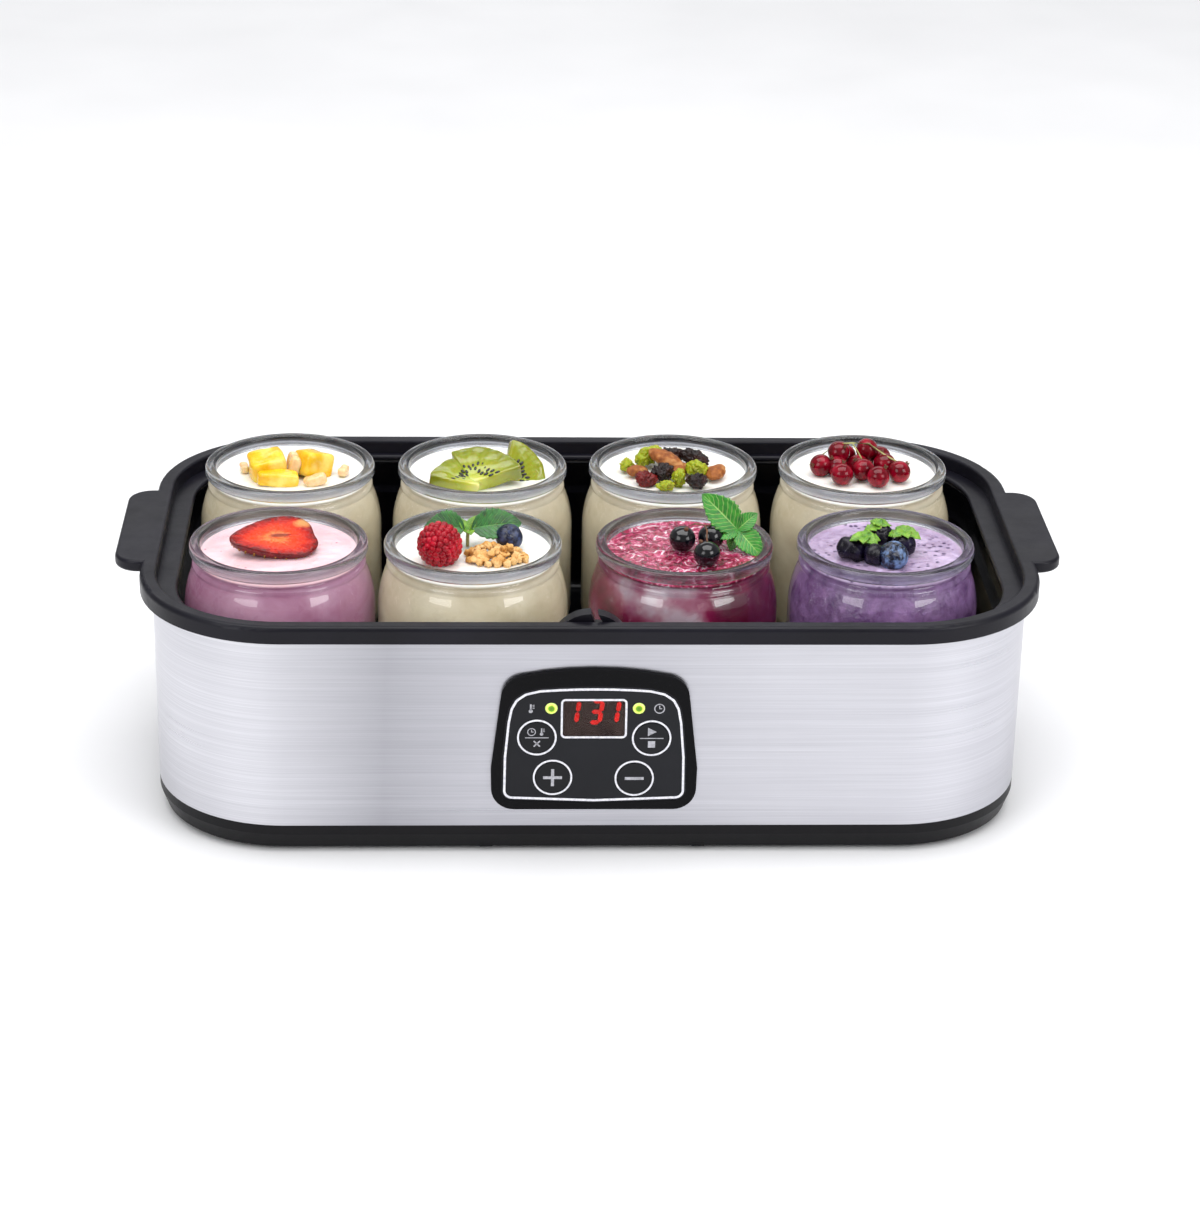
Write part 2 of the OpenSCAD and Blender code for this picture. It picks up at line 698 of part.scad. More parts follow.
module blueberries_and_mint() color("#2B3157") on_yogurt(7) {
  ball(-7, -3, 4, 5);
  ball(0.5, 3.5, 4.4, 5);
  ball(6.5, -3, 4, 4.8);
  translate([-10, 5, 0]) cylinder(r1 = 1.5, r2 = 5, h = 9);
  translate([8, 7.5, 0]) cylinder(r1 = 1.5, r2 = 5, h = 10);
}

base_tray();
rubber_feet();
base_screws();
steel_wrap_front();
steel_wrap_back();
rim_collar();
inner_tub();
tub_seal();
tub_screws();
control_bezel();
control_panel();
panel_trim();
display_window();
display_module();
display_digits();
status_leds();
display_board();
display_board_screws();
tact_switches();
ribbon_cable();
heater_plate();
heating_cable();
thermal_fuse();
temperature_sensor();
power_board();
power_board_screws();
relay();
transformer();
capacitors();
terminal_block();
cord_gland();
set_key();
start_key();
plus_key();
minus_key();
jar_1();
jar_2();
jar_3();
jar_4();
jar_5();
jar_6();
jar_7();
jar_8();
yogurt_1();
yogurt_2();
yogurt_3();
yogurt_4();
yogurt_5();
yogurt_6();
yogurt_7();
yogurt_8();
mango_cubes();
kiwi_pieces();
nuts_and_raisins();
red_currants();
strawberry_half();
berries_and_granola();
blackcurrants_and_mint();
blueberries_and_mint();
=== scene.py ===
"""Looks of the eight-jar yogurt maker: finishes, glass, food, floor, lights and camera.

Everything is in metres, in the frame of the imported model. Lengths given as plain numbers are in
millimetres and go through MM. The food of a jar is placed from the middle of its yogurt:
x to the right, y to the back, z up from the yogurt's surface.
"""
import json
import math
import random

import bmesh
import bpy
from mathutils import Euler, Matrix, Vector, noise


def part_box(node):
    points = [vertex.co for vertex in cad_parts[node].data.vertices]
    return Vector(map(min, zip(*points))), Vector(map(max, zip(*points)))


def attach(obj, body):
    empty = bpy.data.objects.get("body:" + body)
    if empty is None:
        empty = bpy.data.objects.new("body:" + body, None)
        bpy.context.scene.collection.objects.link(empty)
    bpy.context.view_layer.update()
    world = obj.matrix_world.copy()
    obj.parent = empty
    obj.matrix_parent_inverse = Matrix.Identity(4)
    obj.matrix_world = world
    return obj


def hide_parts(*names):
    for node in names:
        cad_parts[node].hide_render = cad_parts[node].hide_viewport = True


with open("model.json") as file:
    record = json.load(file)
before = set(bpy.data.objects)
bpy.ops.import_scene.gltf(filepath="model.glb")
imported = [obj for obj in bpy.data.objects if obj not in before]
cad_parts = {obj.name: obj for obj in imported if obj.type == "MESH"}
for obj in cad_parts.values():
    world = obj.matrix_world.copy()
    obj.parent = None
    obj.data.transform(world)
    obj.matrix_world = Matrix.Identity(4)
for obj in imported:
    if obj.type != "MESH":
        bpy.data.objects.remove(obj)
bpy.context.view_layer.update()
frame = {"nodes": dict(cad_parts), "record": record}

SCENE = bpy.context.scene
MM = 0.001
JARS = range(1, 9)
TOPPING = {1: "mango_cubes", 2: "kiwi_pieces", 3: "nuts_and_raisins", 4: "red_currants",
           5: "strawberry_half", 6: "berries_and_granola", 7: "blackcurrants_and_mint",
           8: "blueberries_and_mint"}
chance = random.Random(11)


# ---------- materials ----------

def tint(code):
    """Linear colour of a web colour such as #3B3A42."""
    parts = [int(code[i:i + 2], 16) / 255 for i in (1, 3, 5)]
    return (*(c / 12.92 if c <= 0.04045 else ((c + 0.055) / 1.055) ** 2.4 for c in parts), 1.0)


class Paint:
    """A Principled material being made, with helpers that add patterns to it."""

    def __init__(self, name, colour="#808080", **sockets):
        self.material = bpy.data.materials.new(name)
        self.material.use_nodes = True
        self.tree = self.material.node_tree
        self.shader = self.tree.nodes["Principled BSDF"]
        self.shader.inputs["Base Color"].default_value = tint(colour)
        for socket, value in sockets.items():
            self.shader.inputs[socket.replace("_", " ")].default_value = value
        coordinates = self.add("TexCoord")
        self.place = coordinates.outputs["Object"]
        self.uv = coordinates.outputs["UV"]

    def add(self, kind, **settings):
        node = self.tree.nodes.new("ShaderNode" + kind)
        for key, value in settings.items():
            setattr(node, key, value)
        return node

    def link(self, value, socket):
        """Joins an output to a socket, or sets the socket to a plain number."""
        if isinstance(value, bpy.types.NodeSocket):
            self.tree.links.new(value, socket)
        else:
            socket.default_value = value

    def feed(self, node, output, **sockets):
        """Joins or sets sockets of a node, and gives back one of its outputs."""
        for name, value in sockets.items():
            self.link(value, node.inputs[name.replace("_", " ")])
        return node.outputs[output]

    def into(self, name, output):
        self.link(output, self.shader.inputs[name])

    def roughen(self, fac, low, high, start=0.3, end=0.7):
        """Roughness between low and high as fac goes from start to end."""
        self.into("Roughness", self.spread(fac, low, high, start, end))

    def colour(self, fac, *stops):
        self.into("Base Color", self.ramp(fac, *stops))

    def times(self, a, b):
        return self.math("MULTIPLY", a, b)

    def plus(self, a, b):
        return self.math("ADD", a, b)

    def stretched(self, x, y, z, source=None):
        return self.feed(self.add("Mapping"), "Vector", Scale=(x, y, z), Vector=source or self.place)

    def noise(self, scale, detail=3.0, source=None, rough=0.5, distortion=0.0):
        return self.feed(self.add("TexNoise"), "Fac", Vector=source or self.place, Scale=scale,
                         Detail=detail, Roughness=rough, Distortion=distortion)

    def cells(self, scale, source=None, feature="F1"):
        return self.feed(self.add("TexVoronoi", feature=feature), "Distance",
                         Vector=source or self.place, Scale=scale)

    def ramp(self, fac, *stops):
        """Colour from a number, by stops of (position, web colour)."""
        node = self.add("ValToRGB")
        self.link(fac, node.inputs["Fac"])
        ramp = node.color_ramp
        while len(ramp.elements) < len(stops):
            ramp.elements.new(1.0)
        for element, (position, colour) in zip(ramp.elements, stops):
            element.position = position
            element.color = tint(colour)
        return node.outputs["Color"]

    def spread(self, fac, low, high, start=0.3, end=0.7):
        """Number between low and high as fac goes from start to end."""
        return self.feed(self.add("MapRange"), "Result", Value=fac, From_Min=start, From_Max=end,
                         To_Min=low, To_Max=high)

    def math(self, operation, a, b=0.0):
        node = self.add("Math", operation=operation)
        self.link(a, node.inputs[0])
        self.link(b, node.inputs[1])
        return node.outputs[0]

    def blend(self, fac, a, b, way="MIX"):
        """Mix of two colours, each an output or a web colour."""
        node = self.add("Mix", data_type="RGBA", blend_type=way)
        self.link(fac, node.inputs["Factor"])
        for value, socket in ((a, node.inputs[6]), (b, node.inputs[7])):
            self.link(tint(value) if isinstance(value, str) else value, socket)
        return node.outputs[2]

    def length(self, a, b):
        """Square root of a squared plus b squared."""
        return self.math("SQRT", self.math("ADD", self.math("POWER", a, 2.0), self.math("POWER", b, 2.0)))

    def axis(self, which, source=None):
        return self.feed(self.add("SeparateXYZ"), which, Vector=source or self.place)

    def at_surface(self):
        """0 in the body of a yogurt and 1 at its surface."""
        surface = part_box("yogurt_1")[1].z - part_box("jar_1")[0].z
        return self.spread(self.axis("Z"), 0, 1, surface - 2.5 * MM, surface - 1.2 * MM)

    def bump(self, height, distance):
        """Adds a bump of this height in metres on top of any bump made before."""
        node = self.add("Bump")
        before = self.shader.inputs["Normal"]
        if before.is_linked:
            self.link(before.links[0].from_socket, node.inputs["Normal"])
        self.link(self.feed(node, "Normal", Distance=distance, Height=height), before)


def moulded(name, dark, light, rough=0.42, grain=0.00004, grain_scale=1400):
    """Moulded plastic or rubber: slow colour clouds, fine grain and faint handling marks."""
    p = Paint(name, dark, Roughness=rough, Specular_IOR_Level=0.2)
    p.colour(p.noise(22, 6), (0.3, dark), (0.72, light))
    p.roughen(p.noise(90, 7, rough=0.65), rough - 0.06, rough + 0.09)
    p.bump(p.noise(grain_scale, 2), grain)
    return p.material


def polished(name, dark, light, rough=0.12):
    """Polished plastic with slight flow marks and fine dust."""
    p = Paint(name, dark, Specular_IOR_Level=0.1)
    dust = p.spread(p.cells(900), 1, 0, 0.05, 0.11)
    flow = p.ramp(p.noise(30, 4), (0.3, dark), (0.7, light))
    p.into("Base Color", p.blend(p.times(dust, 0.08), flow, "#7C7C82"))
    p.roughen(p.noise(120, 6), rough - 0.03, rough + 0.06)
    p.bump(p.noise(45, 2), 0.00004)
    return p.material


def brushed_wrap():
    """Satin steel brushed along its length, with a few longer streaks, soft smudges and painted reflection
    bands of lighter and darker steel from left to right.
    """
    p = Paint("wrap_steel", "#D9D9DC", Metallic=1.0, Anisotropic=0.35)
    fine = p.noise(1, 5, p.stretched(16, 16, 3600), 0.6)
    long = p.noise(1, 4, p.stretched(5, 5, 700), 0.55)
    smudge = p.noise(14, 6)
    # Painted reflection: bands of lighter and darker steel from left to right across x stand in for the
    # surroundings mirrored in the wrap.
    place = p.spread(p.plus(p.axis("X"), p.times(p.noise(3, 2), 0.03)), 0, 1, -0.16, 0.19)
    along = p.ramp(place, (0.0, "#F0F0F2"), (0.13, "#ECECEE"), (0.27, "#BABABE"), (0.38, "#D2D2D6"),
                   (0.55, "#D0D0D4"), (0.72, "#E4E4E7"), (0.88, "#E8E8EB"), (1.0, "#E2E2E6"))
    brushing = p.plus(p.times(fine, 0.6), p.times(long, 0.4))
    steel = p.ramp(brushing, (0.3, "#C6C6CB"), (0.5, "#D6D6DA"), (0.7, "#E6E6EA"))
    steel = p.blend(p.spread(smudge, 0, 0.3), steel, "#CDCCD0")
    # The brushed steel is multiplied by the painted reflection bands.
    p.into("Base Color", p.blend(0.85, steel, along, "MULTIPLY"))
    p.roughen(p.plus(p.times(long, 0.5), p.times(smudge, 0.5)), 0.24, 0.38)
    p.bump(fine, 0.00002)
    p.bump(long, 0.00003)
    return p.material


def plain_metal(name, dark, light, rough=0.3, grain=(600, 600, 40)):
    """Small turned, plated or rolled metal parts."""
    p = Paint(name, light, Metallic=1.0)
    marks = p.noise(1, 4, p.stretched(*grain))
    p.colour(marks, (0.3, dark), (0.7, light))
    p.roughen(p.noise(300, 4), rough - 0.06, rough + 0.12)
    p.bump(marks, 0.00003)
    return p.material


def circuit_board():
    """Green solder mask over copper tracks, with pale pads."""
    p = Paint("board_green", "#1C5A36", Roughness=0.35)
    tracks = p.cells(170, feature="DISTANCE_TO_EDGE")
    pads = p.cells(420)
    green = p.ramp(tracks, (0.0, "#2F7F4E"), (0.08, "#2B7748"), (0.1, "#174A2B"), (1.0, "#1A5230"))
    p.into("Base Color", p.blend(p.spread(pads, 1, 0, 0.12, 0.16), green, "#B9B08A"))
    p.roughen(p.noise(260, 4), 0.28, 0.5)
    p.bump(tracks, 0.00005)
    return p.material


def wound_tape():
    """Yellow polyester tape round a winding, over a dark ferrite core."""
    p = Paint("winding_tape", "#C9A13A", Roughness=0.35)
    turns = p.noise(1, 3, p.stretched(60, 60, 900))
    p.colour(turns, (0.3, "#A9832A"), (0.55, "#CBA23C"), (0.75, "#DDBB5A"))
    p.roughen(p.noise(300, 3), 0.25, 0.5)
    p.bump(turns, 0.0001)
    return p.material


def ribbed_ribbon():
    """Flat ribbon cable with a ridge for each wire."""
    p = Paint("cable_grey", "#8E8E96", Roughness=0.5)
    wires = p.feed(p.add("TexWave", wave_type="BANDS", bands_direction="X"), "Fac", Scale=250,
                   Distortion=0.2, Vector=p.place)
    p.colour(wires, (0.1, "#6C6C74"), (0.6, "#A6A6AE"))
    p.roughen(p.noise(200, 3), 0.42, 0.6)
    p.bump(wires, 0.0002)
    return p.material


def smoked_cover():
    """Smoky film of the display: half clear, with fine sparkle in its grain."""
    p = Paint("smoked_window", "#2E2624", Alpha=0.5, Specular_IOR_Level=0.12)
    p.colour(p.noise(160, 5), (0.3, "#3A2F2E"), (0.5, "#443632"), (0.72, "#4B3E3B"))
    p.roughen(p.noise(500, 4), 0.16, 0.3)
    p.bump(p.noise(900, 2), 0.00001)
    return p.material


def lit_digits():
    """Red display segments that glow a little unevenly."""
    p = Paint("digit_red", "#C01010", Roughness=0.5, Specular_IOR_Level=0.1)
    glow = p.noise(380, 3)
    p.colour(glow, (0.3, "#A00804"), (0.7, "#C80C06"))
    p.into("Emission Color", p.ramp(glow, (0.3, "#F00402"), (0.7, "#FF0A03")))
    p.into("Emission Strength", p.spread(glow, 2.2, 3.2))
    return p.material


def lit_lamps():
    """Status lamps: yellow-green middle inside a pale glowing edge."""
    p = Paint("led_green", "#A6D82E", Roughness=0.3)
    low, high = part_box("status_leds")
    middle = (high.x - 2.4 * MM, (low.z + high.z) / 2)
    across = p.math("SUBTRACT", p.math("ABSOLUTE", p.axis("X")), middle[0])
    upward = p.math("SUBTRACT", p.axis("Z"), middle[1])
    radius = p.plus(p.length(across, upward), p.times(p.noise(700, 2), 0.0003))
    stops = (0.0, "#3C6402"), (0.42, "#5C8A04"), (0.52, "#BCDE3C"), (0.75, "#DCF284")
    colour = p.ramp(p.spread(radius, 0, 1, 0, 3 * MM), *stops)
    p.into("Base Color", colour)
    p.into("Emission Color", colour)
    p.shader.inputs["Emission Strength"].default_value = 0.6
    return p.material


def jar_glass():
    """Clear pressed glass, faintly wavy, that lets light through to the food; painted shade greys it towards
    the top of the lip and darkens a thin band at the ring below the neck.
    """
    p = Paint("jar_glass", "#F3F8F7", Transmission_Weight=1.0, IOR=1.5)
    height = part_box("jar_1")[1].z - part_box("jar_1")[0].z
    # Painted shade: the colour darkens in a thin band at the ring below the neck and greys towards the top of
    # the lip, where the thick glass looks darker.
    p.colour(p.spread(p.axis("Z"), 0, 1, height - 16 * MM, height), (0.0, "#F6F8F7"), (0.34, "#F4F5F5"),
             (0.42, "#D3D4D8"), (0.5, "#EEEFF1"), (0.7, "#E9EAEC"), (0.78, "#9C9EA6"), (1.0, "#6E7079"))
    lip = p.spread(p.axis("Z"), 0, 0.16, height - 8 * MM, height - 5 * MM)
    p.into("Roughness", p.plus(p.spread(p.noise(60, 5), 0.0, 0.05), lip))
    p.bump(p.noise(38, 2), 0.00012)
    p.bump(p.noise(1, 2, p.stretched(30, 30, 260)), 0.00004)
    path = p.add("LightPath")
    clear = p.add("BsdfTransparent")
    clear.inputs["Color"].default_value = (0.93, 0.95, 0.95, 1)
    mix = p.add("MixShader")
    p.link(path.outputs["Is Shadow Ray"], mix.inputs["Fac"])
    p.link(p.shader.outputs[0], mix.inputs[1])
    p.link(clear.outputs[0], mix.inputs[2])
    output = next(n for n in p.tree.nodes if n.type == "OUTPUT_MATERIAL")
    p.link(mix.outputs[0], output.inputs["Surface"])
    return p.material


def yogurt_look(name, top, body, rough=0.32, specks=None, speck_scale=300, speck_size=0.2,
                swirl=34, bumps=0.0002):
    """Set yogurt: top and body are each two shades, the body's darker ones being painted shade of the
    yogurt's side down in the tub, and specks is the colour of any fruit in it.
    """
    p = Paint(name, top[0], Subsurface_Weight=0.25, Subsurface_Scale=0.004, IOR=1.4,
              Coat_Weight=0.35, Coat_Roughness=0.12)
    p.shader.inputs["Subsurface Radius"].default_value = (1.0, 0.7, 0.5)
    cloud = p.noise(swirl, 6, rough=0.6, distortion=0.6)
    above = p.at_surface()
    # Painted shade: below the surface the yogurt takes the darker body shades, for the shade it sits in
    # inside the tub.
    shade = p.blend(above, p.ramp(cloud, (0.3, body[0]), (0.68, body[1])),
                    p.ramp(cloud, (0.3, top[0]), (0.68, top[1])))
    if specks:
        spots = p.cells(speck_scale, p.stretched(1, 1, 0.8))
        amount = p.times(p.spread(spots, 1, 0, speck_size * 0.6, speck_size),
                         p.spread(p.noise(120, 3), 0, 1, 0.42, 0.6))
        amount = p.times(amount, p.spread(above, 0.3, 1, 0, 1))
        shade = p.blend(amount, shade, specks)
    p.into("Base Color", shade)
    p.roughen(p.noise(150, 4), rough - 0.08, rough + 0.12)
    p.bump(p.noise(260, 4), bumps)
    return p.material


def berry_puree():
    """Crushed berries in yogurt: crimson with pale streaks on top, calmer behind the glass, where a paler
    band down the middle of the body is a painted highlight.
    """
    p = Paint("yogurt_berry", "#8A0A34", Subsurface_Weight=0.12, Subsurface_Scale=0.003,
              Coat_Weight=0.8, Coat_Roughness=0.08)
    above = p.at_surface()
    streaks = p.noise(150, 5, rough=0.68, distortion=2.4)
    top = p.ramp(streaks, (0.36, "#4C011C"), (0.45, "#920838"), (0.53, "#C01E5A"), (0.585, "#DC7098"),
                 (0.64, "#FDEEF4"))
    # Painted highlight: the body is paler in a band about x = -2 mm, down the middle of the jar's front and
    # back.
    pale = p.spread(p.math("ABSOLUTE", p.plus(p.axis("X"), 2 * MM)), 0.09, -0.09, 4 * MM, 24 * MM)
    body = p.ramp(p.plus(p.noise(30, 4, rough=0.55), pale), (0.38, "#4E0426"), (0.47, "#70103A"),
                  (0.54, "#8A4E64"), (0.62, "#A08C96"))
    p.into("Base Color", p.blend(above, body, top))
    p.roughen(p.noise(150, 4), 0.1, 0.3)
    p.bump(p.times(streaks, above), 0.0022)
    return p.material


def skin(name, dark, light, rough=0.25, scale=220, bumps=0.00012, mottle=None, **sockets):
    """Food with a skin or a wet face: two shades, optional third in patches, and fine bumps."""
    p = Paint(name, dark, Subsurface_Scale=0.003, Specular_IOR_Level=0.3, **sockets)
    cloud = p.noise(scale, 5, rough=0.6)
    colour = p.ramp(cloud, (0.32, dark), (0.66, light))
    if mottle:
        colour = p.blend(p.spread(p.noise(scale * 0.6, 3), 0, 0.85, 0.5, 0.66), colour, mottle)
    p.into("Base Color", colour)
    p.roughen(p.noise(scale * 1.6, 4), rough - 0.07, rough + 0.16)
    p.bump(p.noise(scale * 2.5, 3), bumps)
    return p.material


def leaf_look(name, dark, light, vein):
    """Mint leaf: the UV map runs along the leaf and across it, so the veins follow its shape."""
    p = Paint(name, dark, Subsurface_Weight=0.12, Subsurface_Scale=0.002, Coat_Weight=0.2,
              Coat_Roughness=0.3)
    along = p.axis("X", p.uv)
    across = p.math("ABSOLUTE", p.math("SUBTRACT", p.axis("Y", p.uv), 0.5))
    slant = p.math("SUBTRACT", along, p.times(across, 0.55))
    wave = p.math("PINGPONG", p.times(slant, 9.0), 0.5)
    side_veins = p.spread(wave, 1, 0, 0.02, 0.14)
    midrib = p.spread(across, 1, 0, 0.012, 0.035)
    veins = p.math("MAXIMUM", side_veins, midrib)
    green = p.ramp(p.noise(420, 4), (0.3, dark), (0.7, light))
    p.into("Base Color", p.blend(p.times(veins, 0.55), green, vein))
    p.roughen(p.noise(500, 3), 0.38, 0.56)
    p.bump(p.math("SUBTRACT", p.noise(700, 3), veins), 0.00025)
    return p.material


def kiwi_look():
    """Kiwi flesh about the fruit's own axis: pale core, light rays, green towards the skin."""
    p = Paint("kiwi_flesh", "#A9B83A", Subsurface_Weight=0.45, Subsurface_Scale=0.005,
              Roughness=0.2, Coat_Weight=0.3, Coat_Roughness=0.1)
    x, y = p.axis("X"), p.axis("Y")
    radius = p.plus(p.length(x, y), p.times(p.noise(260, 3), 0.0016))
    angle = p.math("ARCTAN2", y, x)
    rays = p.math("PINGPONG", p.times(angle, 5.6), 0.5)
    flesh = p.ramp(p.spread(radius, 0, 1, 0, 24 * MM), (0.0, "#D2D288"), (0.2, "#B8BC44"),
                   (0.34, "#9EA41A"), (0.7, "#848C0A"), (1.0, "#667006"))
    p.into("Base Color", p.blend(p.spread(rays, 0.1, 0, 0.05, 0.45), flesh, "#CCD068"))
    p.roughen(p.noise(300, 4), 0.12, 0.3)
    p.bump(p.noise(340, 4), 0.0003)
    return p.material


def strawberry_cut():
    """Cut face of a strawberry: the UV map runs from the middle (0) out to the rim (1)."""
    p = Paint("strawberry_cut", "#D0401E", Subsurface_Weight=0.2, Subsurface_Scale=0.003,
              Specular_IOR_Level=0.35)
    radius = p.axis("X", p.uv)
    rays = p.noise(1, 4, p.stretched(3.0, 30.0, 1.0, p.uv), 0.65)
    uneven = p.plus(radius, p.times(p.math("SUBTRACT", rays, 0.5), 0.75))
    flesh = p.ramp(uneven, (0.0, "#D84C16"), (0.2, "#F07A3C"), (0.36, "#DC3E0C"), (0.54, "#E0380A"),
                   (0.8, "#B41404"), (1.0, "#640604"))

    def near(x, y, reach_x, reach_y, start, end):
        east = p.math("DIVIDE", p.math("SUBTRACT", p.axis("X"), x * MM), reach_x * MM)
        north = p.math("DIVIDE", p.math("SUBTRACT", p.axis("Y"), y * MM), reach_y * MM)
        far = p.plus(p.math("POWER", east, 2.0), p.math("POWER", north, 2.0))
        return p.spread(p.plus(far, p.times(p.noise(420, 3), 0.9)), 1, 0, start, end)

    notch = near(14.0, 7.0, 4.4, 2.6, 0.6, 1.7)
    # Painted shade: the slit in the middle is coloured dark red-brown, for the shade in the hollow core; the
    # bump below also sinks it.
    painted_shade_slit = near(2.5, 1.0, 5.5, 1.5, 0.6, 1.5)
    shade = p.blend(p.times(notch, 0.7), flesh, "#E8A860")
    p.into("Base Color", p.blend(p.times(painted_shade_slit, 0.8), shade, "#5E0A06"))
    p.roughen(p.noise(300, 4), 0.14, 0.32)
    p.bump(rays, 0.0007)
    p.bump(p.math("SUBTRACT", p.noise(700, 3), painted_shade_slit), 0.0003)
    return p.material


def bloomed(name, dark, light, bloom):
    """Blueberry or blackcurrant skin with a powdery bloom rubbed off in places."""
    p = Paint(name, dark)
    patch = p.noise(240, 5, rough=0.7)
    colour = p.ramp(p.noise(500, 4), (0.3, dark), (0.7, light))
    p.into("Base Color", p.blend(p.spread(patch, 0, 0.85, 0.46, 0.64), colour, bloom))
    p.roughen(patch, 0.22, 0.62, 0.4, 0.62)
    p.bump(p.noise(1200, 3), 0.00008)
    return p.material


def printed_ink(name, dark, light):
    """Printed ink, very slightly uneven."""
    p = Paint(name, light)
    p.colour(p.noise(900, 3), (0.3, dark), (0.6, light))
    p.roughen(p.noise(600, 3), 0.35, 0.5)
    p.bump(p.noise(1500, 2), 0.00001)
    return p.material


def pale_floor():
    """Matt white sheet with the least unevenness."""
    p = Paint("pale_floor", "#F2F2F2", Roughness=0.55)
    p.colour(p.noise(3, 5), (0.3, "#EDEDEE"), (0.7, "#F4F4F5"))
    p.roughen(p.noise(12, 4), 0.5, 0.62)
    p.bump(p.noise(400, 3), 0.00005)
    return p.material


# Finishes by the function that makes them, as slot name and the function's other values
SIMPLE = {
    moulded: {
        "base_plastic": ("#060508", "#0C0B0F", 0.42),
        "foot_rubber": ("#141415", "#202022", 0.7, 0.0001, 900),
        "rim_plastic": ("#0D0C12", "#17161F", 0.36, 0.00003, 1600),
        "seal_rubber": ("#38383C", "#4C4C50", 0.6, 0.0001, 900),
        "panel_black": ("#141519", "#1B1C21", 0.42, 0.00002, 2600),
        "module_black": ("#18181B", "#222226", 0.5),
        "cable_silicone": ("#A8401F", "#CE5A33", 0.5, 0.0001, 700),
        "sensor_blue": ("#1F3D63", "#2F5688", 0.35),
        "terminal_green": ("#2F6E36", "#4A8F4C", 0.45),
        "gland_rubber": ("#151517", "#212124", 0.65, 0.0001, 900),
        "key_black": ("#101114", "#17181C", 0.36, 0.00003, 1800),
    },
    polished: {
        "tub_gloss": ("#040406", "#08080B", 0.13),
        "bezel_gloss": ("#040406", "#08080B", 0.16),
        "relay_blue": ("#1B4A86", "#2A66B0", 0.25),
        "capacitor_sleeve": ("#23234E", "#3A3A72", 0.25),
    },
    plain_metal: {
        "screw_steel": ("#8E8E92", "#C9C9CC"),
        "plate_aluminium": ("#A9ABAF", "#C9CBCF", 0.34, (20, 900, 900)),
        "fuse_metal": ("#A5A5A8", "#DADADC"),
    },
    printed_ink: {
        "print_white": ("#C9C9D2", "#EDEDF3"),
    },
}
FINISH = {name: make(name, *look) for make, looks in SIMPLE.items() for name, look in looks.items()}
FINISH.update({
    "wrap_steel": brushed_wrap(),
    "smoked_window": smoked_cover(),
    "digit_red": lit_digits(),
    "led_green": lit_lamps(),
    "board_green": circuit_board(),
    "cable_grey": ribbed_ribbon(),
    "winding_tape": wound_tape(),
    "jar_glass": jar_glass(),
    # For each set yogurt the second pair of shades, for the body, is painted shade of its side in the tub.
    "yogurt_plain": yogurt_look("yogurt_plain", ("#EBE8E0", "#F6F4EE"), ("#B0A286", "#CFC4AD")),
    "yogurt_strawberry": yogurt_look("yogurt_strawberry", ("#E4B8C0", "#EFCED3"), ("#8E5272", "#B488A0"),
                                     specks="#B8607E", speck_scale=230, speck_size=0.12),
    "yogurt_berry": berry_puree(),
    "yogurt_blueberry": yogurt_look("yogurt_blueberry", ("#98809F", "#C0ACCC"),
                                    ("#5A3E66", "#8A6896"), 0.3, "#46305A", 330, 0.36, 150, 0.0007),
})
MANGO = skin("mango_flesh", "#E6AE08", "#F4CC30", 0.16, 160, 0.0003, "#F6DE78", Subsurface_Weight=0.3,
             Coat_Weight=0.3, Coat_Roughness=0.1)
MANGO_PALE = skin("mango_pale", "#DCB478", "#EBD0A0", 0.2, 180, 0.0003, Subsurface_Weight=0.4,
                  Coat_Weight=0.5)
KIWI = kiwi_look()
SEED = skin("kiwi_seed", "#0E0B08", "#1E1812", 0.2, 900, 0.0001, Coat_Weight=0.5)
RAISIN = skin("raisin_skin", "#0C0404", "#220C0A", 0.3, 380, 0.0003, "#3A1A16")
GREEN_RAISIN = skin("green_raisin_skin", "#7C8A0A", "#AEB824", 0.28, 300, 0.0003, "#6E7010",
                    Subsurface_Weight=0.35)
CRANBERRY = skin("cranberry_skin", "#4A0708", "#821410", 0.3, 320, 0.0003, "#3E0A0E")
ALMOND = skin("almond_skin", "#743A14", "#A8642C", 0.5, 420, 0.0004, "#BE8650")
CURRANT = skin("currant_skin", "#4C000C", "#86021A", 0.08, 240, 0.00004, "#9C0828",
               Subsurface_Weight=0.1)
STALK = skin("stalk_green", "#8A8A4A", "#B9B478", 0.5, 500, 0.0002)
BROWN_STALK = skin("stalk_brown", "#4A2E22", "#7A5038", 0.5, 500, 0.0002)
STRAWBERRY = skin("strawberry_skin", "#4C0306", "#7C080A", 0.2, 260, 0.0002,
                  Subsurface_Weight=0.1, Coat_Weight=0.3, Coat_Roughness=0.12)
ACHENE = skin("achene", "#8A5A20", "#B4853C", 0.4, 900, 0.0001)
CUT = strawberry_cut()
RASPBERRY = skin("raspberry_skin", "#6E0010", "#B40620", 0.16, 320, 0.0001, "#CC1834",
                 Subsurface_Weight=0.12)
GRANOLA = skin("granola_crumb", "#B87C34", "#E2B068", 0.55, 260, 0.0006, "#EBC68C")
BLUEBERRY = bloomed("blueberry_skin", "#0A0D20", "#161C38", "#3C4C78")
PALE_BLUEBERRY = bloomed("pale_blueberry_skin", "#04060F", "#101C3C", "#7C9CCC")
BLACKCURRANT = skin("blackcurrant_skin", "#020205", "#06060C", 0.1, 300, 0.00003, "#0A0C16",
                    Coat_Weight=0.5, Coat_Roughness=0.04)
DARK_BERRY = skin("dark_berry_skin", "#06040C", "#10091C", 0.24, 260, 0.0002, "#1A1430")
MINT = leaf_look("mint_leaf", "#0A6814", "#389C22", "#C4F08C")
BROAD_MINT = leaf_look("broad_mint_leaf", "#0F4416", "#2E7A2C", "#5C9E4C")
YOUNG_MINT = leaf_look("young_mint_leaf", "#3E8210", "#8CBE30", "#CDE98A")
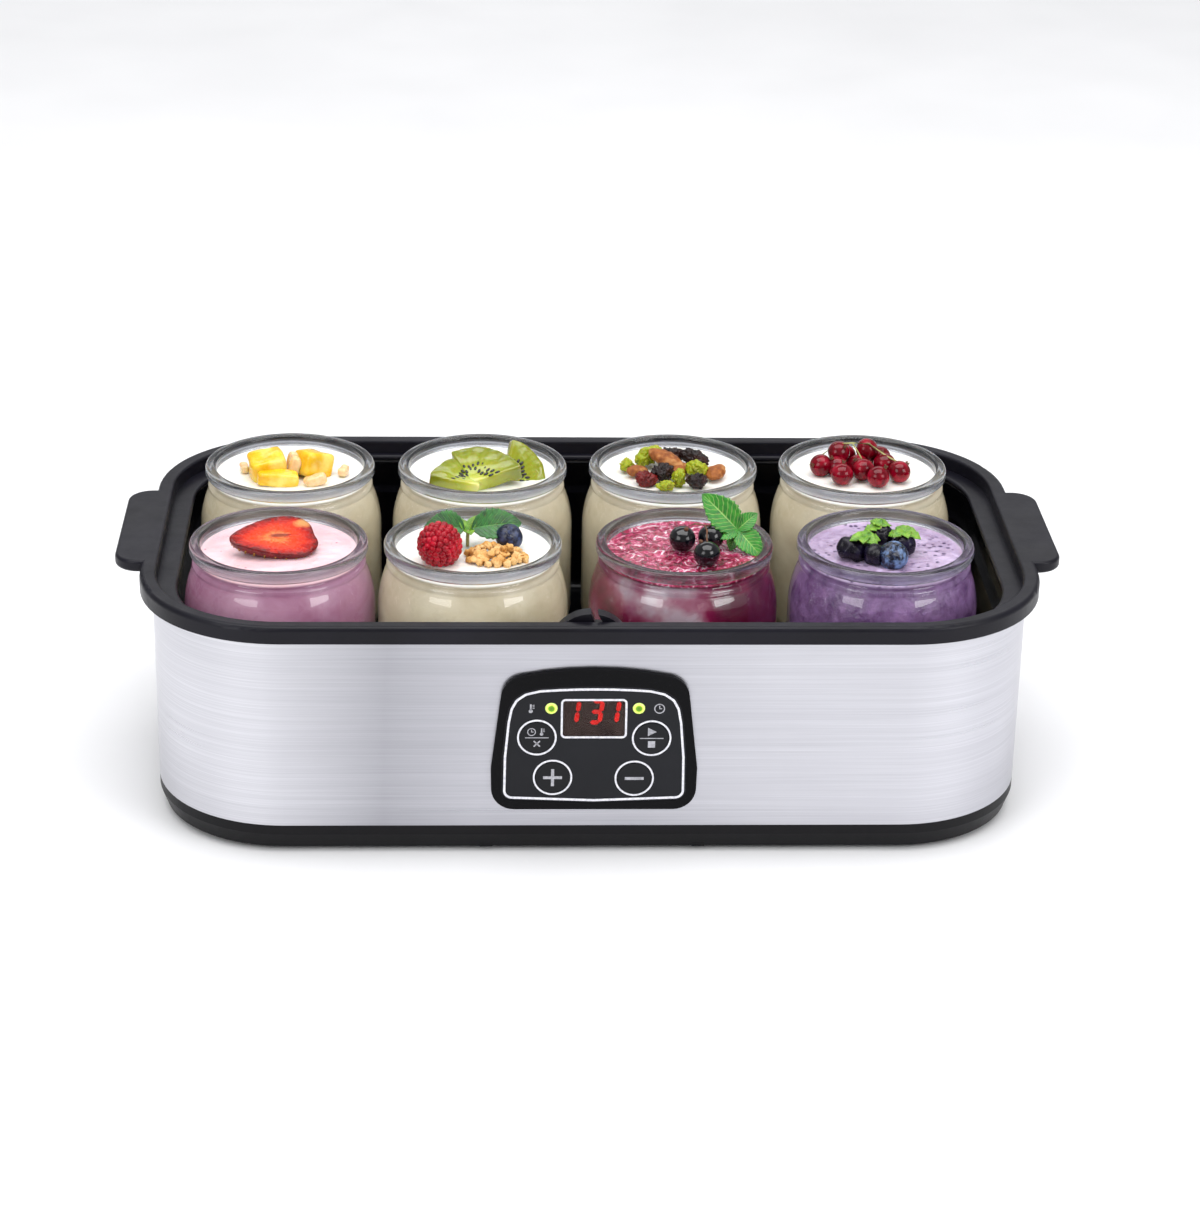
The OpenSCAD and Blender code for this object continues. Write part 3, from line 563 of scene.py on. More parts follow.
ICON = printed_ink("icon_ink", "#8F8F96", "#B4B4BB")
FLOOR = pale_floor()


# ---------- mesh helpers ----------

def placed(name, data):
    """New object of this data, in the scene."""
    made = bpy.data.objects.new(name, data)
    SCENE.collection.objects.link(made)
    return made


def spun(turn):
    """Rotation matrix of a turn in degrees."""
    return Euler([math.radians(a) for a in turn]).to_matrix()


def show(name, bm, material, body, stands_for=(), at=(0, 0, 0), turn=(0, 0, 0), smooth=True):
    """Makes a piece of the mesh, puts it in place and lets it ride on its body."""
    mesh = bpy.data.meshes.new(name)
    bmesh.ops.recalc_face_normals(bm, faces=bm.faces)
    bm.to_mesh(mesh)
    bm.free()
    for polygon in mesh.polygons:
        polygon.use_smooth = smooth
    mesh.materials.append(material)
    piece = placed(name, mesh)
    piece.location = at
    piece.rotation_euler = [math.radians(a) for a in turn]
    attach(piece, body)
    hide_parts(*stands_for)
    return piece


def arc(cx, cy, r, start, end, steps):
    """Points along an arc, with the angles in degrees."""
    turns = [math.radians(start + (end - start) * k / steps) for k in range(steps + 1)]
    return [(cx + r * math.cos(a), cy + r * math.sin(a)) for a in turns]


def lathe(bm, profile, turns=96):
    """Turns (radius, height) points, in millimetres, about the upright axis."""
    rings = []
    for r, z in profile:
        if r < 0.01:
            rings.append([bm.verts.new((0, 0, z * MM))])
            continue
        angles = [math.tau * k / turns for k in range(turns)]
        rings.append([bm.verts.new((r * MM * math.cos(a), r * MM * math.sin(a), z * MM)) for a in angles])
    for low, high in zip(rings, rings[1:]):
        for k in range(turns):
            n = (k + 1) % turns
            corners = [low[k % len(low)], low[n % len(low)], high[n % len(high)], high[k % len(high)]]
            distinct = list(dict.fromkeys(corners))
            if len(distinct) > 2:
                bm.faces.new(distinct)


def blob(bm, place, size, turn=(0, 0, 0), power=2.0, level=3, lumps=0.0, grain=1.0, form=None):
    """Adds a closed lump: half sizes and place in millimetres, turned in degrees.

    power 2 is an ellipsoid and higher ones are boxier; lumps is how far noise moves the
    surface, grain how fine that noise is, and form reshapes the unit lump."""
    made = bmesh.ops.create_icosphere(bm, subdivisions=level, radius=1.0)["verts"]
    spin = spun(turn)
    offset = Vector(place) * 0.37 + Vector((chance.random(), 0.3, 0.7)) * 9
    for v in made:
        d = v.co.normalized()
        reach = sum(abs(c) ** power for c in d) ** (-1 / power)
        p = d * reach
        if form:
            p = form(p)
        p = Vector((p.x * size[0], p.y * size[1], p.z * size[2]))
        if lumps:
            p += d * lumps * noise.noise(p * grain + offset)
        v.co = (spin @ p + Vector(place)) * MM
    return made


def wedge(bm, radius, start, end, thick):
    """Adds a slice of a round fruit: a sector lying about the local origin."""
    outline = arc(0, 0, radius, start, end, 14) + [(0.0, 0.0)]
    low = [bm.verts.new((x * MM, y * MM, -thick / 2 * MM)) for x, y in outline]
    high = [bm.verts.new((x * MM, y * MM, thick / 2 * MM)) for x, y in outline]
    bm.faces.new(low)
    bm.faces.new(high)
    for k in range(len(outline)):
        n = (k + 1) % len(outline)
        bm.faces.new((low[k], low[n], high[n], high[k]))


def organic(bm, voxel=0.55, lumps=0.5, grain=0.25, rounds=4):
    """Remeshes a rough shape evenly, rounds its edges off and makes it a little irregular."""
    mesh = bpy.data.meshes.new("rough_shape")
    bm.to_mesh(mesh)
    bm.free()
    rough = placed("rough_shape", mesh)
    remesh = rough.modifiers.new("remesh", "REMESH")
    remesh.mode = "VOXEL"
    remesh.voxel_size = voxel * MM
    seen = rough.evaluated_get(bpy.context.evaluated_depsgraph_get())
    even = bmesh.new()
    even.from_mesh(seen.to_mesh())
    bpy.data.objects.remove(rough)
    bpy.data.meshes.remove(mesh)
    for _ in range(rounds):
        bmesh.ops.smooth_vert(even, verts=even.verts, factor=0.5, use_axis_x=True, use_axis_y=True,
                              use_axis_z=True)
    even.normal_update()
    offset = Vector((chance.random(), chance.random(), chance.random())) * 20
    moves = [v.normal * lumps * MM * noise.noise(v.co / MM * grain + offset) for v in even.verts]
    for v, move in zip(even.verts, moves):
        v.co += move
    return even


def leaf(bm, length, width, droop=40, teeth=9, notch=0.13, place=(0, 0, 0), turn=(0, 0, 0)):
    """Adds a toothed leaf with its stalk at the place given and its tip along local x."""
    uv = bm.loops.layers.uv.verify()
    spin = spun(turn)
    rows, half_columns = 44, 8
    bend = math.radians(droop) + 1e-6
    grid = {}
    for i in range(rows + 1):
        u = i / rows
        tooth = (u * teeth) % 1.0
        half = width / 2 * max(math.sin(math.pi * u ** 0.8), 0.0) ** 0.75 * (1 - notch * tooth)
        for j in range(-half_columns, half_columns + 1):
            v = j / half_columns
            along = length * math.sin(bend * u) / bend
            y = half * v
            ridge = abs(math.sin(math.pi * 4.5 * (u - 0.28 * abs(v)) * 2)) * abs(v) ** 0.5
            z = -length * (1 - math.cos(bend * u)) / bend + 0.25 * abs(y) + 0.5 * ridge * (half / width)
            point = Vector((along, y, z))
            grid[i, j] = bm.verts.new((spin @ point + Vector(place)) * MM)
    for i in range(rows):
        for j in range(-half_columns, half_columns):
            corners = ((i, j), (i + 1, j), (i + 1, j + 1), (i, j + 1))
            face = bm.faces.new([grid[c] for c in corners])
            for loop, (a, b) in zip(face.loops, corners):
                loop[uv].uv = (a / rows, b / half_columns / 2 + 0.5)


def tube(bm, points, radius, sides=8):
    """Adds a stalk that follows points given in millimetres."""
    path = [Vector(p) for p in points]
    rings = []
    for k, p in enumerate(path):
        ahead = (path[min(k + 1, len(path) - 1)] - path[max(k - 1, 0)]).normalized()
        side = ahead.orthogonal().normalized()
        other = ahead.cross(side)
        rings.append([bm.verts.new((p + radius * (side * math.cos(a) + other * math.sin(a))) * MM)
                      for a in (math.tau * s / sides for s in range(sides))])
    for low, high in zip(rings, rings[1:]):
        shift = min(range(sides), key=lambda s: (high[s].co - low[0].co).length)
        for k in range(sides):
            n = (k + 1) % sides
            bm.faces.new((low[k], low[n], high[(n + shift) % sides], high[(k + shift) % sides]))
    bm.faces.new(rings[0])
    bm.faces.new(rings[-1])


# ---------- jars and yogurt ----------

def jar_axis(i):
    low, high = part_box(f"jar_{i}")
    return Vector(((low.x + high.x) / 2, (low.y + high.y) / 2, low.z))


def on_top(i):
    """Middle of the yogurt's surface in jar i."""
    middle = jar_axis(i)
    middle.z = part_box(f"yogurt_{i}")[1].z
    return middle


JAR_LOW, JAR_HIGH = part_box("jar_1")
JAR_R = (JAR_HIGH.x - JAR_LOW.x) / 2 / MM
JAR_H = (JAR_HIGH.z - JAR_LOW.z) / MM
FILL_H = (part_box("yogurt_1")[1].z - JAR_LOW.z) / MM
LIP_R = 35.4
MOUTH_R = 31.0
GLASS = 2.4
NECK_R = LIP_R - 2.6
SHOULDER_R = 42
HEEL_R = 12
FLOOR_H = 3.6
BELLY_H = JAR_H - 28
SHOULDER_X = JAR_R - SHOULDER_R
HEEL_X = JAR_R - HEEL_R
INNER_TURN = math.degrees(math.acos((MOUTH_R - SHOULDER_X) / (SHOULDER_R - GLASS)))
HEEL_TURN = math.degrees(math.asin((HEEL_R - FLOOR_H) / (HEEL_R - GLASS)))


def jar_profile():
    """The jar's section: up the outside, over the lip and down the inside."""
    ring_turn = math.degrees(math.asin(17.6 / SHOULDER_R))
    outside = [(0, 1.4), (18, 1.4), (22, 0.3)] + arc(HEEL_X, HEEL_R, HEEL_R, -90, 0, 12)
    outside += [(JAR_R, 20), (JAR_R, 30), (JAR_R, 40)]
    outside += arc(SHOULDER_X, BELLY_H, SHOULDER_R, 0, ring_turn, 12)
    outside += arc(LIP_R - 2.3, JAR_H - 9.2, 1.4, -40, 75, 8)
    outside += [(NECK_R, JAR_H - 7.3), (NECK_R, JAR_H - 5.4)]
    outside += arc(LIP_R - 1.6, JAR_H - 3.2, 1.6, -75, 0, 6) + arc(LIP_R - 1.6, JAR_H - 1.6, 1.6, 0, 90, 8)
    inside = arc(MOUTH_R + 1.4, JAR_H - 1.4, 1.4, 90, 180, 8)
    inside += [(MOUTH_R, JAR_H - 5), (MOUTH_R, JAR_H - 8)]
    inside += arc(SHOULDER_X, BELLY_H, SHOULDER_R - GLASS, INNER_TURN, 0, 12)
    inside += [(JAR_R - GLASS, z) for z in (40, 30, 20)]
    inside += arc(HEEL_X, HEEL_R, HEEL_R - GLASS, 0, -HEEL_TURN, 10) + [(0, FLOOR_H)]
    return outside + inside


def yogurt_profile(swell=0.05):
    """The fill: it presses into the glass by a hair so that no air shows between them."""
    wall = MOUTH_R + swell
    side = [(0, FLOOR_H - swell)] + arc(HEEL_X, HEEL_R, HEEL_R - GLASS + swell, -HEEL_TURN, 0, 10)
    side += [(JAR_R - GLASS + swell, z) for z in (20, 30, 40)]
    side += arc(SHOULDER_X, BELLY_H, SHOULDER_R - GLASS + swell, 0, INNER_TURN, 12)
    side += [(wall, JAR_H - 7.5), (wall, FILL_H + 0.5)]
    top = [(wall - 0.25, FILL_H + 0.35), (wall - 0.7, FILL_H + 0.05), (wall - 1.5, FILL_H - 0.15)]
    top += [(r, FILL_H - 0.2) for r in range(29, -1, -1)]
    return side + top


def add_jar(i):
    bm = bmesh.new()
    lathe(bm, jar_profile())
    show(f"glass_jar_{i}", bm, FINISH["jar_glass"], f"filled_jar_{i}", [f"jar_{i}"],
         jar_axis(i))


def add_yogurt(i, slot, waves=0.5, ripples=0.2, grain=0.3):
    """Fills jar i; waves and ripples are the unevenness of the surface in millimetres."""
    bm = bmesh.new()
    lathe(bm, yogurt_profile(), 120)
    shift = Vector((3.1 * i, 1.7 * i, 0))
    for v in bm.verts:
        r = math.hypot(v.co.x, v.co.y) / MM
        if v.co.z / MM > FILL_H - 1 and r < MOUTH_R - 0.1:
            spot = Vector((v.co.x, v.co.y, 0)) / MM
            fade = min(1.0, (MOUTH_R - r) / 6)
            v.co.z += MM * fade * (waves * noise.noise(spot * 0.07 + shift)
                                   + ripples * noise.noise(spot * grain + shift))
    show(f"yogurt_fill_{i}", bm, FINISH[slot], f"filled_jar_{i}", [f"yogurt_{i}"], jar_axis(i))


def food(name, bm, material, i, place=(0, 0, 0), turn=(0, 0, 0)):
    """Puts a piece of food on the yogurt in jar i."""
    return show(name, bm, material, f"filled_jar_{i}", [TOPPING[i]],
                on_top(i) + Vector(place) * MM, turn)


def lump(name, material, i, place, size, turn=(0, 0, 0), **shape):
    """One lump of food, standing in its own frame so that its pattern turns with it."""
    bm = bmesh.new()
    blob(bm, (0, 0, 0), size, **shape)
    return food(name, bm, material, i, place, turn)


def stalks(name, i, look, *runs):
    """Stalks on jar i: each run is a radius and the points it passes, in millimetres."""
    bm = bmesh.new()
    for radius, *points in runs:
        tube(bm, points, radius)
    food(name, bm, look, i)


def berry_form(p):
    """Round berry with a five-pointed crown round a dimple at its top."""
    polar = math.acos(max(-1.0, min(1.0, p.normalized().z)))
    around = math.atan2(p.y, p.x)
    crown = 0.09 * math.exp(-((polar - 0.44) / 0.1) ** 2) * (0.55 + 0.45 * math.cos(5 * around))
    dimple = 0.2 * math.exp(-(polar / 0.3) ** 2)
    return p * (1 + crown - dimple)


def drop_form(p):
    """Almond: pointed at one end."""
    taper = 1 - 0.42 * max(p.x, 0.0) ** 1.3
    return Vector((p.x, p.y * taper, p.z * taper))


def wrinkled(bm, size, depth, seed):
    """Raisin: a lump whose skin is folded into creases."""
    made = blob(bm, (0, 0, 0), size, level=5, lumps=0.5, grain=0.3)
    shift = Vector((seed * 3.7, seed * 1.3, 2.0))
    for v in made:
        crease = abs(noise.noise(v.co / MM * 0.42 + shift)) + 0.5 * abs(noise.noise(v.co / MM * 0.95 + shift))
        v.co -= v.co.normalized() * depth * MM * (0.55 - crease)


# ---------- the eight toppings ----------

def mango():
    """Each piece is (place, half sizes, turn)."""
    cubes = (((-9.5, -3.0, 4.6), (7.4, 7.0, 5.6), (8, -8, 14)),
             ((9.5, 0.5, 4.6), (6.8, 6.6, 5.4), (-8, 16, 34)),
             ((-4.5, -11.5, 2.6), (8.6, 3.6, 3.0), (4, 4, 6)))
    bits = (((1.4, -1, 4.6), (2.4, 5.5, 4.8), (0, 14, 12)),
            ((11, -12, 2.0), (4.6, 2.4, 2.3), (0, -14, 15)),
            ((22.5, -1, 1.8), (1.9, 3.6, 1.9), (0, 0, -20)),
            ((-19.5, 2.5, 1.6), (1.8, 3.0, 1.8), (0, 0, 10)),
            ((3, 12, 1.8), (4.0, 2.4, 1.9), (0, 0, 30)))
    for kind, pieces, look, power, level, rounding in (
            ("cube", cubes, MANGO, 7, 5, (0.5, 0.9, 0.16, 3)),
            ("bit", bits, MANGO_PALE, 4, 4, (0.35, 0.5, 0.3, 3))):
        for k, (place, size, turn) in enumerate(pieces):
            bm = bmesh.new()
            blob(bm, (0, 0, 0), size, power=power, level=level)
            food(f"mango_{kind}_{k + 1}", organic(bm, *rounding), look, 1, place, turn)


def kiwi():
    """Each slice is (place, (radius, start, end, thickness), turn), with two rows of seeds on it."""
    slices = (((-2, -20.5, -0.4), (21, 86, 172, 8.0), (14, 8, 0)),
              ((-4, -19.0, 1.0), (22, 20, 112, 7.0), (22, -6, 0)),
              ((9.0, -4.5, -0.8), (17.5, -8, 84, 7.5), (60, 8, 8)))
    for k, (place, (radius, start, end, thick), turn) in enumerate(slices):
        bm = bmesh.new()
        wedge(bm, radius, start, end, thick)
        food(f"kiwi_slice_{k + 1}", organic(bm, 0.55, 0.8, 0.2, 5), KIWI, 2, place, turn)
        bm = bmesh.new()
        for row, count in ((0.36, 7), (0.5, 9)):
            for n in range(count):
                a = math.radians(start + 6 + (end - start - 12) * n / (count - 1))
                r = radius * (row + 0.05 * math.sin(5 * n + k))
                blob(bm, (r * math.cos(a), r * math.sin(a), thick / 2 - 0.15), (1.25, 0.6, 0.45),
                     (0, 0, math.degrees(a)), level=2)
        food(f"kiwi_seeds_{k + 1}", bm, SEED, 2, place, turn)


def nuts():
    """Each raisin is (look, place, half sizes, turn), and each almond the same without a look."""
    raisins = ((GREEN_RAISIN, (-10, 10.6, 4.4), (6.6, 4.2, 4.0), (0, -20, 28)),
               (GREEN_RAISIN, (-19.2, 4.8, 2.4), (4.6, 3.0, 2.5), (0, 0, 70)),
               (CRANBERRY, (-11.7, -11.6, 2.9), (5.0, 4.4, 3.3), (0, 8, -20)),
               (RAISIN, (-4.4, -6.6, 3.8), (5.2, 4.3, 3.8), (0, 0, 15)),
               (RAISIN, (0, 14.4, 3.4), (6.2, 4.0, 3.6), (0, 0, 8)),
               (RAISIN, (10, 9.0, 4.2), (6.6, 3.8, 3.8), (0, 12, -24)),
               (GREEN_RAISIN, (10, -3.2, 3.8), (5.4, 4.0, 3.7), (0, 0, -35)),
               (GREEN_RAISIN, (1.8, -12.4, 3.4), (3.0, 3.2, 4.6), (10, 0, 0)),
               (GREEN_RAISIN, (-3.8, -17.6, 2.2), (4.2, 2.9, 2.4), (0, 0, 12)),
               (RAISIN, (9.4, -14.6, 3.2), (4.9, 4.1, 3.3), (0, 0, 30)))
    for k, (look, place, size, turn) in enumerate(raisins):
        bm = bmesh.new()
        wrinkled(bm, size, 1.7, k + 1)
        food(f"raisin_{k + 1}", bm, look, 3, place, turn)
    almonds = (((-2.0, 3.6, 5.4), (9.4, 4.6, 3.0), (0, 14, -34)),
               ((18.2, -3.4, 2.8), (6.4, 4.0, 2.6), (0, -6, 62)),
               ((-15, -1.8, 2.6), (5.0, 3.4, 2.4), (0, 6, 20)),
               ((2.6, 0.6, 2.4), (6.8, 4.2, 2.6), (0, 0, 60)))
    for k, (place, size, turn) in enumerate(almonds):
        lump(f"almond_{k + 1}", ALMOND, 3, place, size, turn, level=5, lumps=0.35, grain=0.5, form=drop_form)


def currants():
    places = ((-9.5, 6, 8.2), (2.7, 8.3, 8.6), (9.6, 2.2, 4.5), (15, -6.5, 4.3),
              (-0.3, -5.2, 4.8), (-9.7, -10, 4.4), (-17.5, 0.9, 4.2), (-10.6, 1.2, 3.6),
              (5.4, -12.2, 4.2), (-1.5, 2.2, 3.6), (8.6, 10.8, 4.2), (-6, 12.4, 4.2))
    for k, place in enumerate(places):
        lean = (35 + 40 * math.sin(2.3 * k), 30 * math.cos(3.1 * k), 50 * k)
        bm = bmesh.new()
        blob(bm, (0, 0, 0), (4.75, 4.75, 4.6), level=4)
        food(f"currant_{k + 1}", bm, CURRANT, 4, place, lean)
        bm = bmesh.new()
        blob(bm, (0, 0, 4.9), (0.75, 0.75, 0.8), level=2, lumps=0.3, grain=2)
        for n in range(5):
            blob(bm, (0.65 * math.cos(n * 1.257), 0.65 * math.sin(n * 1.257), 5.5), (0.28, 0.28, 0.8),
                 (0, 20, n * 72), level=1)
        food(f"currant_tuft_{k + 1}", bm, BROWN_STALK, 4, place, lean)
    stalks("currant_stalk", 4, STALK,
           (0.38, (-17, 4, 7.5), (-11, 5, 12.2), (-4, 5.5, 12.6), (3, 5, 12.4), (10, 1, 8.6), (14, -3, 7.6)),
           (0.3, (-4, 5.5, 12.6), (-2, 0, 10.4), (-1, -4, 9.2)))


def strawberry():
    """Half a strawberry with its cut face up, tilted towards the front."""
    length, width, depth = 18.5, 14.5, 8.0
    place, turn = (-1.6, 0.8, 6.2), (17, 4, 20)
    bm = bmesh.new()
    uv = bm.loops.layers.uv.verify()
    rings, columns = 26, 72
    cut_rings = rings // 2
    middle_top = bm.verts.new((0, 0, -0.5 * MM))
    middle_low = bm.verts.new((0, 0, -depth * MM))
    grid = {}
    out_to = {middle_top: 0.0, middle_low: 1.0}
    for j in range(columns):
        a = math.tau * j / columns
        x = math.cos(a)
        y = math.sin(a) * (0.78 + 0.34 * x) * (1 - 0.16 * max(0.0, x) ** 12)
        x *= 1 - 0.12 * max(0.0, x) ** 14
        grid[0, j], grid[rings, j] = middle_top, middle_low
        for i in range(1, rings):
            s = min(1.0, i / cut_rings)
            if i <= cut_rings:
                point = Vector((x * length * s, y * width * s, -0.54 * (1 - s * s)))
                point.z += 0.22 * noise.noise(point * 0.35)
            else:
                t = (i - cut_rings) / (rings - cut_rings) * math.pi / 2
                point = Vector((x * length * math.cos(t), y * width * math.cos(t), -depth * math.sin(t)))
            grid[i, j] = bm.verts.new(point * MM)
            out_to[grid[i, j]] = s
    for j in range(columns):
        n = (j + 1) % columns
        for i in range(rings):
            corners = (grid[i, j], grid[i + 1, j], grid[i + 1, n], grid[i, n])
            face = bm.faces.new(list(dict.fromkeys(corners)))
            face.material_index = 0 if i < cut_rings else 1
            for loop in face.loops:
                loop[uv].uv = (out_to[loop.vert], j / columns)
    half = food("strawberry_half_cut", bm, CUT, 5, place, turn)
    half.data.materials.append(STRAWBERRY)
    bm = bmesh.new()
    for ring in range(4):
        t = math.radians(20 + 15 * ring)
        count = 26 - 5 * ring
        for k in range(count):
            a = math.tau * (k + 0.5 * (ring % 2)) / count
            x, y = math.cos(a), math.sin(a) * (0.78 + 0.34 * math.cos(a))
            flat = 0.985 * math.cos(t)
            blob(bm, (x * length * flat, y * width * flat, -depth * math.sin(t)), (0.5, 0.42, 0.6),
                 (0, 0, math.degrees(a)), level=2)
    food("strawberry_seeds", bm, ACHENE, 5, place, turn)


def raspberry(name, i, place, radius, turn):
    """Druplets set in staggered rings round a blunt cone, with no druplets on its bottom."""
    bm = bmesh.new()
    blob(bm, (0, 0, 0), (radius * 0.72, radius * 0.72, radius * 0.85), level=3)
    for ring in range(11):
        polar = math.radians(3 + 14 * ring)
        wide = radius * 0.86 * math.sin(polar)
        count = max(1, round(math.tau * wide / (radius * 0.27)))
        for k in range(count):
            a = math.tau * (k + 0.5 * (ring % 2)) / count
            size = radius * (0.165 + 0.02 * chance.random())
            blob(bm, (wide * math.cos(a), wide * math.sin(a), radius * math.cos(polar)),
                 (size, size, size), level=3, lumps=0.08, grain=0.6)
    food(name, bm, RASPBERRY, i, place, turn)


def crumbs(name, i, middle, spread_x, spread_y, count, height):
    """Heap of granola: rolled flakes and small toasted clumps."""
    bm = bmesh.new()
    for k in range(count):
        a = chance.uniform(0, math.tau)
        s = math.sqrt(chance.random())
        place = (middle[0] + spread_x * s * math.cos(a), middle[1] + spread_y * s * math.sin(a),
                 0.9 + height * (1 - s) * chance.uniform(0.4, 1.0))
        turn = (chance.uniform(-40, 40), chance.uniform(-40, 40), chance.uniform(0, 360))
        if k % 4:
            size = [chance.uniform(1.0, 1.7) for _ in range(3)]
            blob(bm, place, size, turn, power=2.6, level=3, lumps=0.7, grain=1.1)
        else:
            blob(bm, place, (chance.uniform(1.8, 2.6), chance.uniform(1.3, 1.8), 0.55), turn, power=2.6,
                 level=3, lumps=0.4, grain=0.8)
    food(name, bm, GRANOLA, i)


def blueberry(name, i, place, radius, turn, look=None):
    lump(name, look or BLUEBERRY, i, place, (radius, radius, radius * 0.88), turn, level=5,
         lumps=0.2, grain=0.25, form=berry_form)


def sprig(name, i, leaves, look, teeth=9, notch=0.13):
    """Leaves of one look: each is (stalk place, turn, length, width, droop)."""
    bm = bmesh.new()
    for place, turn, length, width, droop in leaves:
        leaf(bm, length, width, droop, teeth, notch, place, turn)
    piece = food(name, bm, look, i)
    shell = piece.modifiers.new("thickness", "SOLIDIFY")
    shell.thickness = 0.35 * MM
    shell.offset = 0


def granola_mix():
    """Raspberry, blueberry and a heap of granola, with mint behind them."""
    raspberry("raspberry", 6, (-13.2, -10.5, 7.4), 8.8, (35, -20, 20))
    blueberry("blueberry", 6, (14.4, 4.0, 4.6), 5.5, (38, 20, 0))
    crumbs("granola", 6, (8.8, -6.5), 13, 8.5, 80, 6.0)
    sprig("mint_leaves_back", 6, (((-3.5, 5, 8), (-44, -4, 176), 16.5, 14, 20),
                                  ((-0.5, 5, 8), (46, -8, 8), 21, 14, 25)), BROAD_MINT)
    sprig("mint_leaves_young", 6, (((-2, 5, 6), (0, -50, 60), 8, 5, 20),
                                   ((-2.4, 5, 6), (0, -55, 130), 7, 4.5, 20),
                                   ((-2, 5.5, 6), (0, -30, -80), 7, 4.5, 30)), YOUNG_MINT)
    stalks("mint_stalk_6", 6, STALK, (0.7, (-2.2, 6, 0), (-2.2, 5.8, 3.5), (-2, 5.5, 7)))


def currants_and_mint():
    """Three blackcurrants and a sprig of mint that leans over the lip."""
    berries = (((-0.7, 2.2, 4.9), 5.3), ((10.8, 4.0, 4.9), 5.2), ((8, -13.2, 4.9), 5.3))
    for k, (place, r) in enumerate(berries):
        lump(f"blackcurrant_{k + 1}", BLACKCURRANT, 7, place, (r, r, r * 0.96), (20 - 25 * k, 15, 40 * k),
             level=5, lumps=0.2, grain=0.25)
        bm = bmesh.new()
        blob(bm, (0, 0, r), (0.9, 0.9, 1.0), level=2, lumps=0.3, grain=2)
        food(f"blackcurrant_tuft_{k + 1}", bm, BROWN_STALK, 7, place, (20 - 25 * k, 15, 40 * k))
    stalks("blackcurrant_stalk", 7, BROWN_STALK,
           (0.35, (0, 2, 9.6), (4, 3, 11), (8, 2, 10.8), (11, 3.6, 9.6)),
           (0.35, (8, 2, 10.8), (8.5, -4, 11), (8, -10, 10.4), (8, -13, 9.8)))
    joint = (21.5, 5.5, 7.4)
    sprig("mint_leaf_tall", 7, ((joint, (-64, -48, 178), 20.5, 14, 18),), MINT)
    sprig("mint_leaves_side", 7, ((joint, (52, -44, 8), 10.5, 8, 30), (joint, (-40, -4, 200), 12.5, 9.5, 30),
                                  (joint, (30, 26, -48), 15, 11, 20),
                                  (joint, (-20, 44, -120), 9, 7, 30)), MINT)
    stalks("mint_stalk_7", 7, STALK, (0.8, (20, 8, 0), (21, 6.8, 4), joint))


def blueberries_mix():
    """Blueberries and dark berries under three clusters of young leaves."""
    blueberry("blueberry_front", 8, (1.6, -12.6, 4.0), 6.0, (40, 5, 0), PALE_BLUEBERRY)
    blueberry("blueberry_back", 8, (-1, 5.4, 4.5), 5.2, (15, -20, 40), DARK_BERRY)
    berries = (((-13.4, -5.0, 3.8), (7.0, 6.0, 4.8)), ((-5.6, -10.8, 3.8), (5.0, 4.6, 4.4)),
               ((-8.5, 2.2, 4.0), (4.6, 4.4, 4.2)), ((7.2, -1.6, 4.0), (4.8, 4.6, 4.2)))
    for k, (place, size) in enumerate(berries):
        lump(f"dark_berry_{k + 1}", DARK_BERRY, 8, place, size, (30 * k, 20, 50 * k), level=4, lumps=1.2,
             grain=0.28)
    clusters = ((-9.5, -6.5, 9.0), (7.4, 0, 8.6), (-1.6, 5, 9.4))
    leaves = []
    for k, (x, y, z) in enumerate(clusters):
        for n in range(7 if k < 2 else 4):
            turn = (25 * math.cos(n), -12 - 11 * (n % 3), 51 * n + 20 * k)
            leaves.append(((x, y, z - 0.6 * (n % 2)), turn, 7.4 - 0.8 * (n % 3), 5.6, 60))
    sprig("leaf_clusters", 8, leaves, YOUNG_MINT, 3, 0.45)
    stalks("leaf_stalks", 8, STALK, *((0.5, (x, y, 1), (x, y, z * 0.6), (x, y, z)) for x, y, z in clusters))


# ---------- printed marks ----------

class Mark:
    """A flat printed mark in front of y = front metres, drawn in (x, z) millimetres."""

    def __init__(self, front):
        self.front = front
        self.bm = bmesh.new()

    def patch(self, outline, depth=0.05):
        near = [self.bm.verts.new((x * MM, self.front - depth * MM, z * MM)) for x, z in outline]
        far = [self.bm.verts.new((x * MM, self.front + 0.02 * MM, z * MM)) for x, z in outline]
        self.bm.faces.new(near)
        self.bm.faces.new(far)
        for k in range(len(outline)):
            n = (k + 1) % len(outline)
            self.bm.faces.new((near[k], near[n], far[n], far[k]))

    def bar(self, a, b, width):
        a, b = Vector(a), Vector(b)
        along = (b - a).normalized()
        side = Vector((-along.y, along.x)) * width / 2
        self.patch([a + side, a - side, b - side, b + side])

    def clock(self, x, z, size):
        steps = 40
        outer = arc(x, z, size * 1.11, 0, 360, steps)
        inner = arc(x, z, size * 0.89, 0, 360, steps)
        for k in range(steps):
            self.patch((outer[k], outer[k + 1], inner[k + 1], inner[k]))
        self.bar((x, z - 0.1 * size), (x, z + 0.66 * size), size * 0.2)
        self.bar((x, z), (x + 0.5 * size, z), size * 0.2)

    def thermometer(self, x, z, size):
        self.patch(arc(x, z - size * 0.55, size * 0.42, 0, 352, 44))
        self.bar((x, z - size * 0.4), (x, z + size), size * 0.34)
        for k in range(3):
            level = z + size * (0.1 + 0.35 * k)
            self.bar((x + size * 0.35, level), (x + size * 0.75, level), size * 0.14)

    def cross(self, x, z, size):
        self.bar((x - size, z - size), (x + size, z + size), size * 0.45)
        self.bar((x - size, z + size), (x + size, z - size), size * 0.45)

    def show(self, name, body):
        show(name, self.bm, ICON, body, smooth=False)


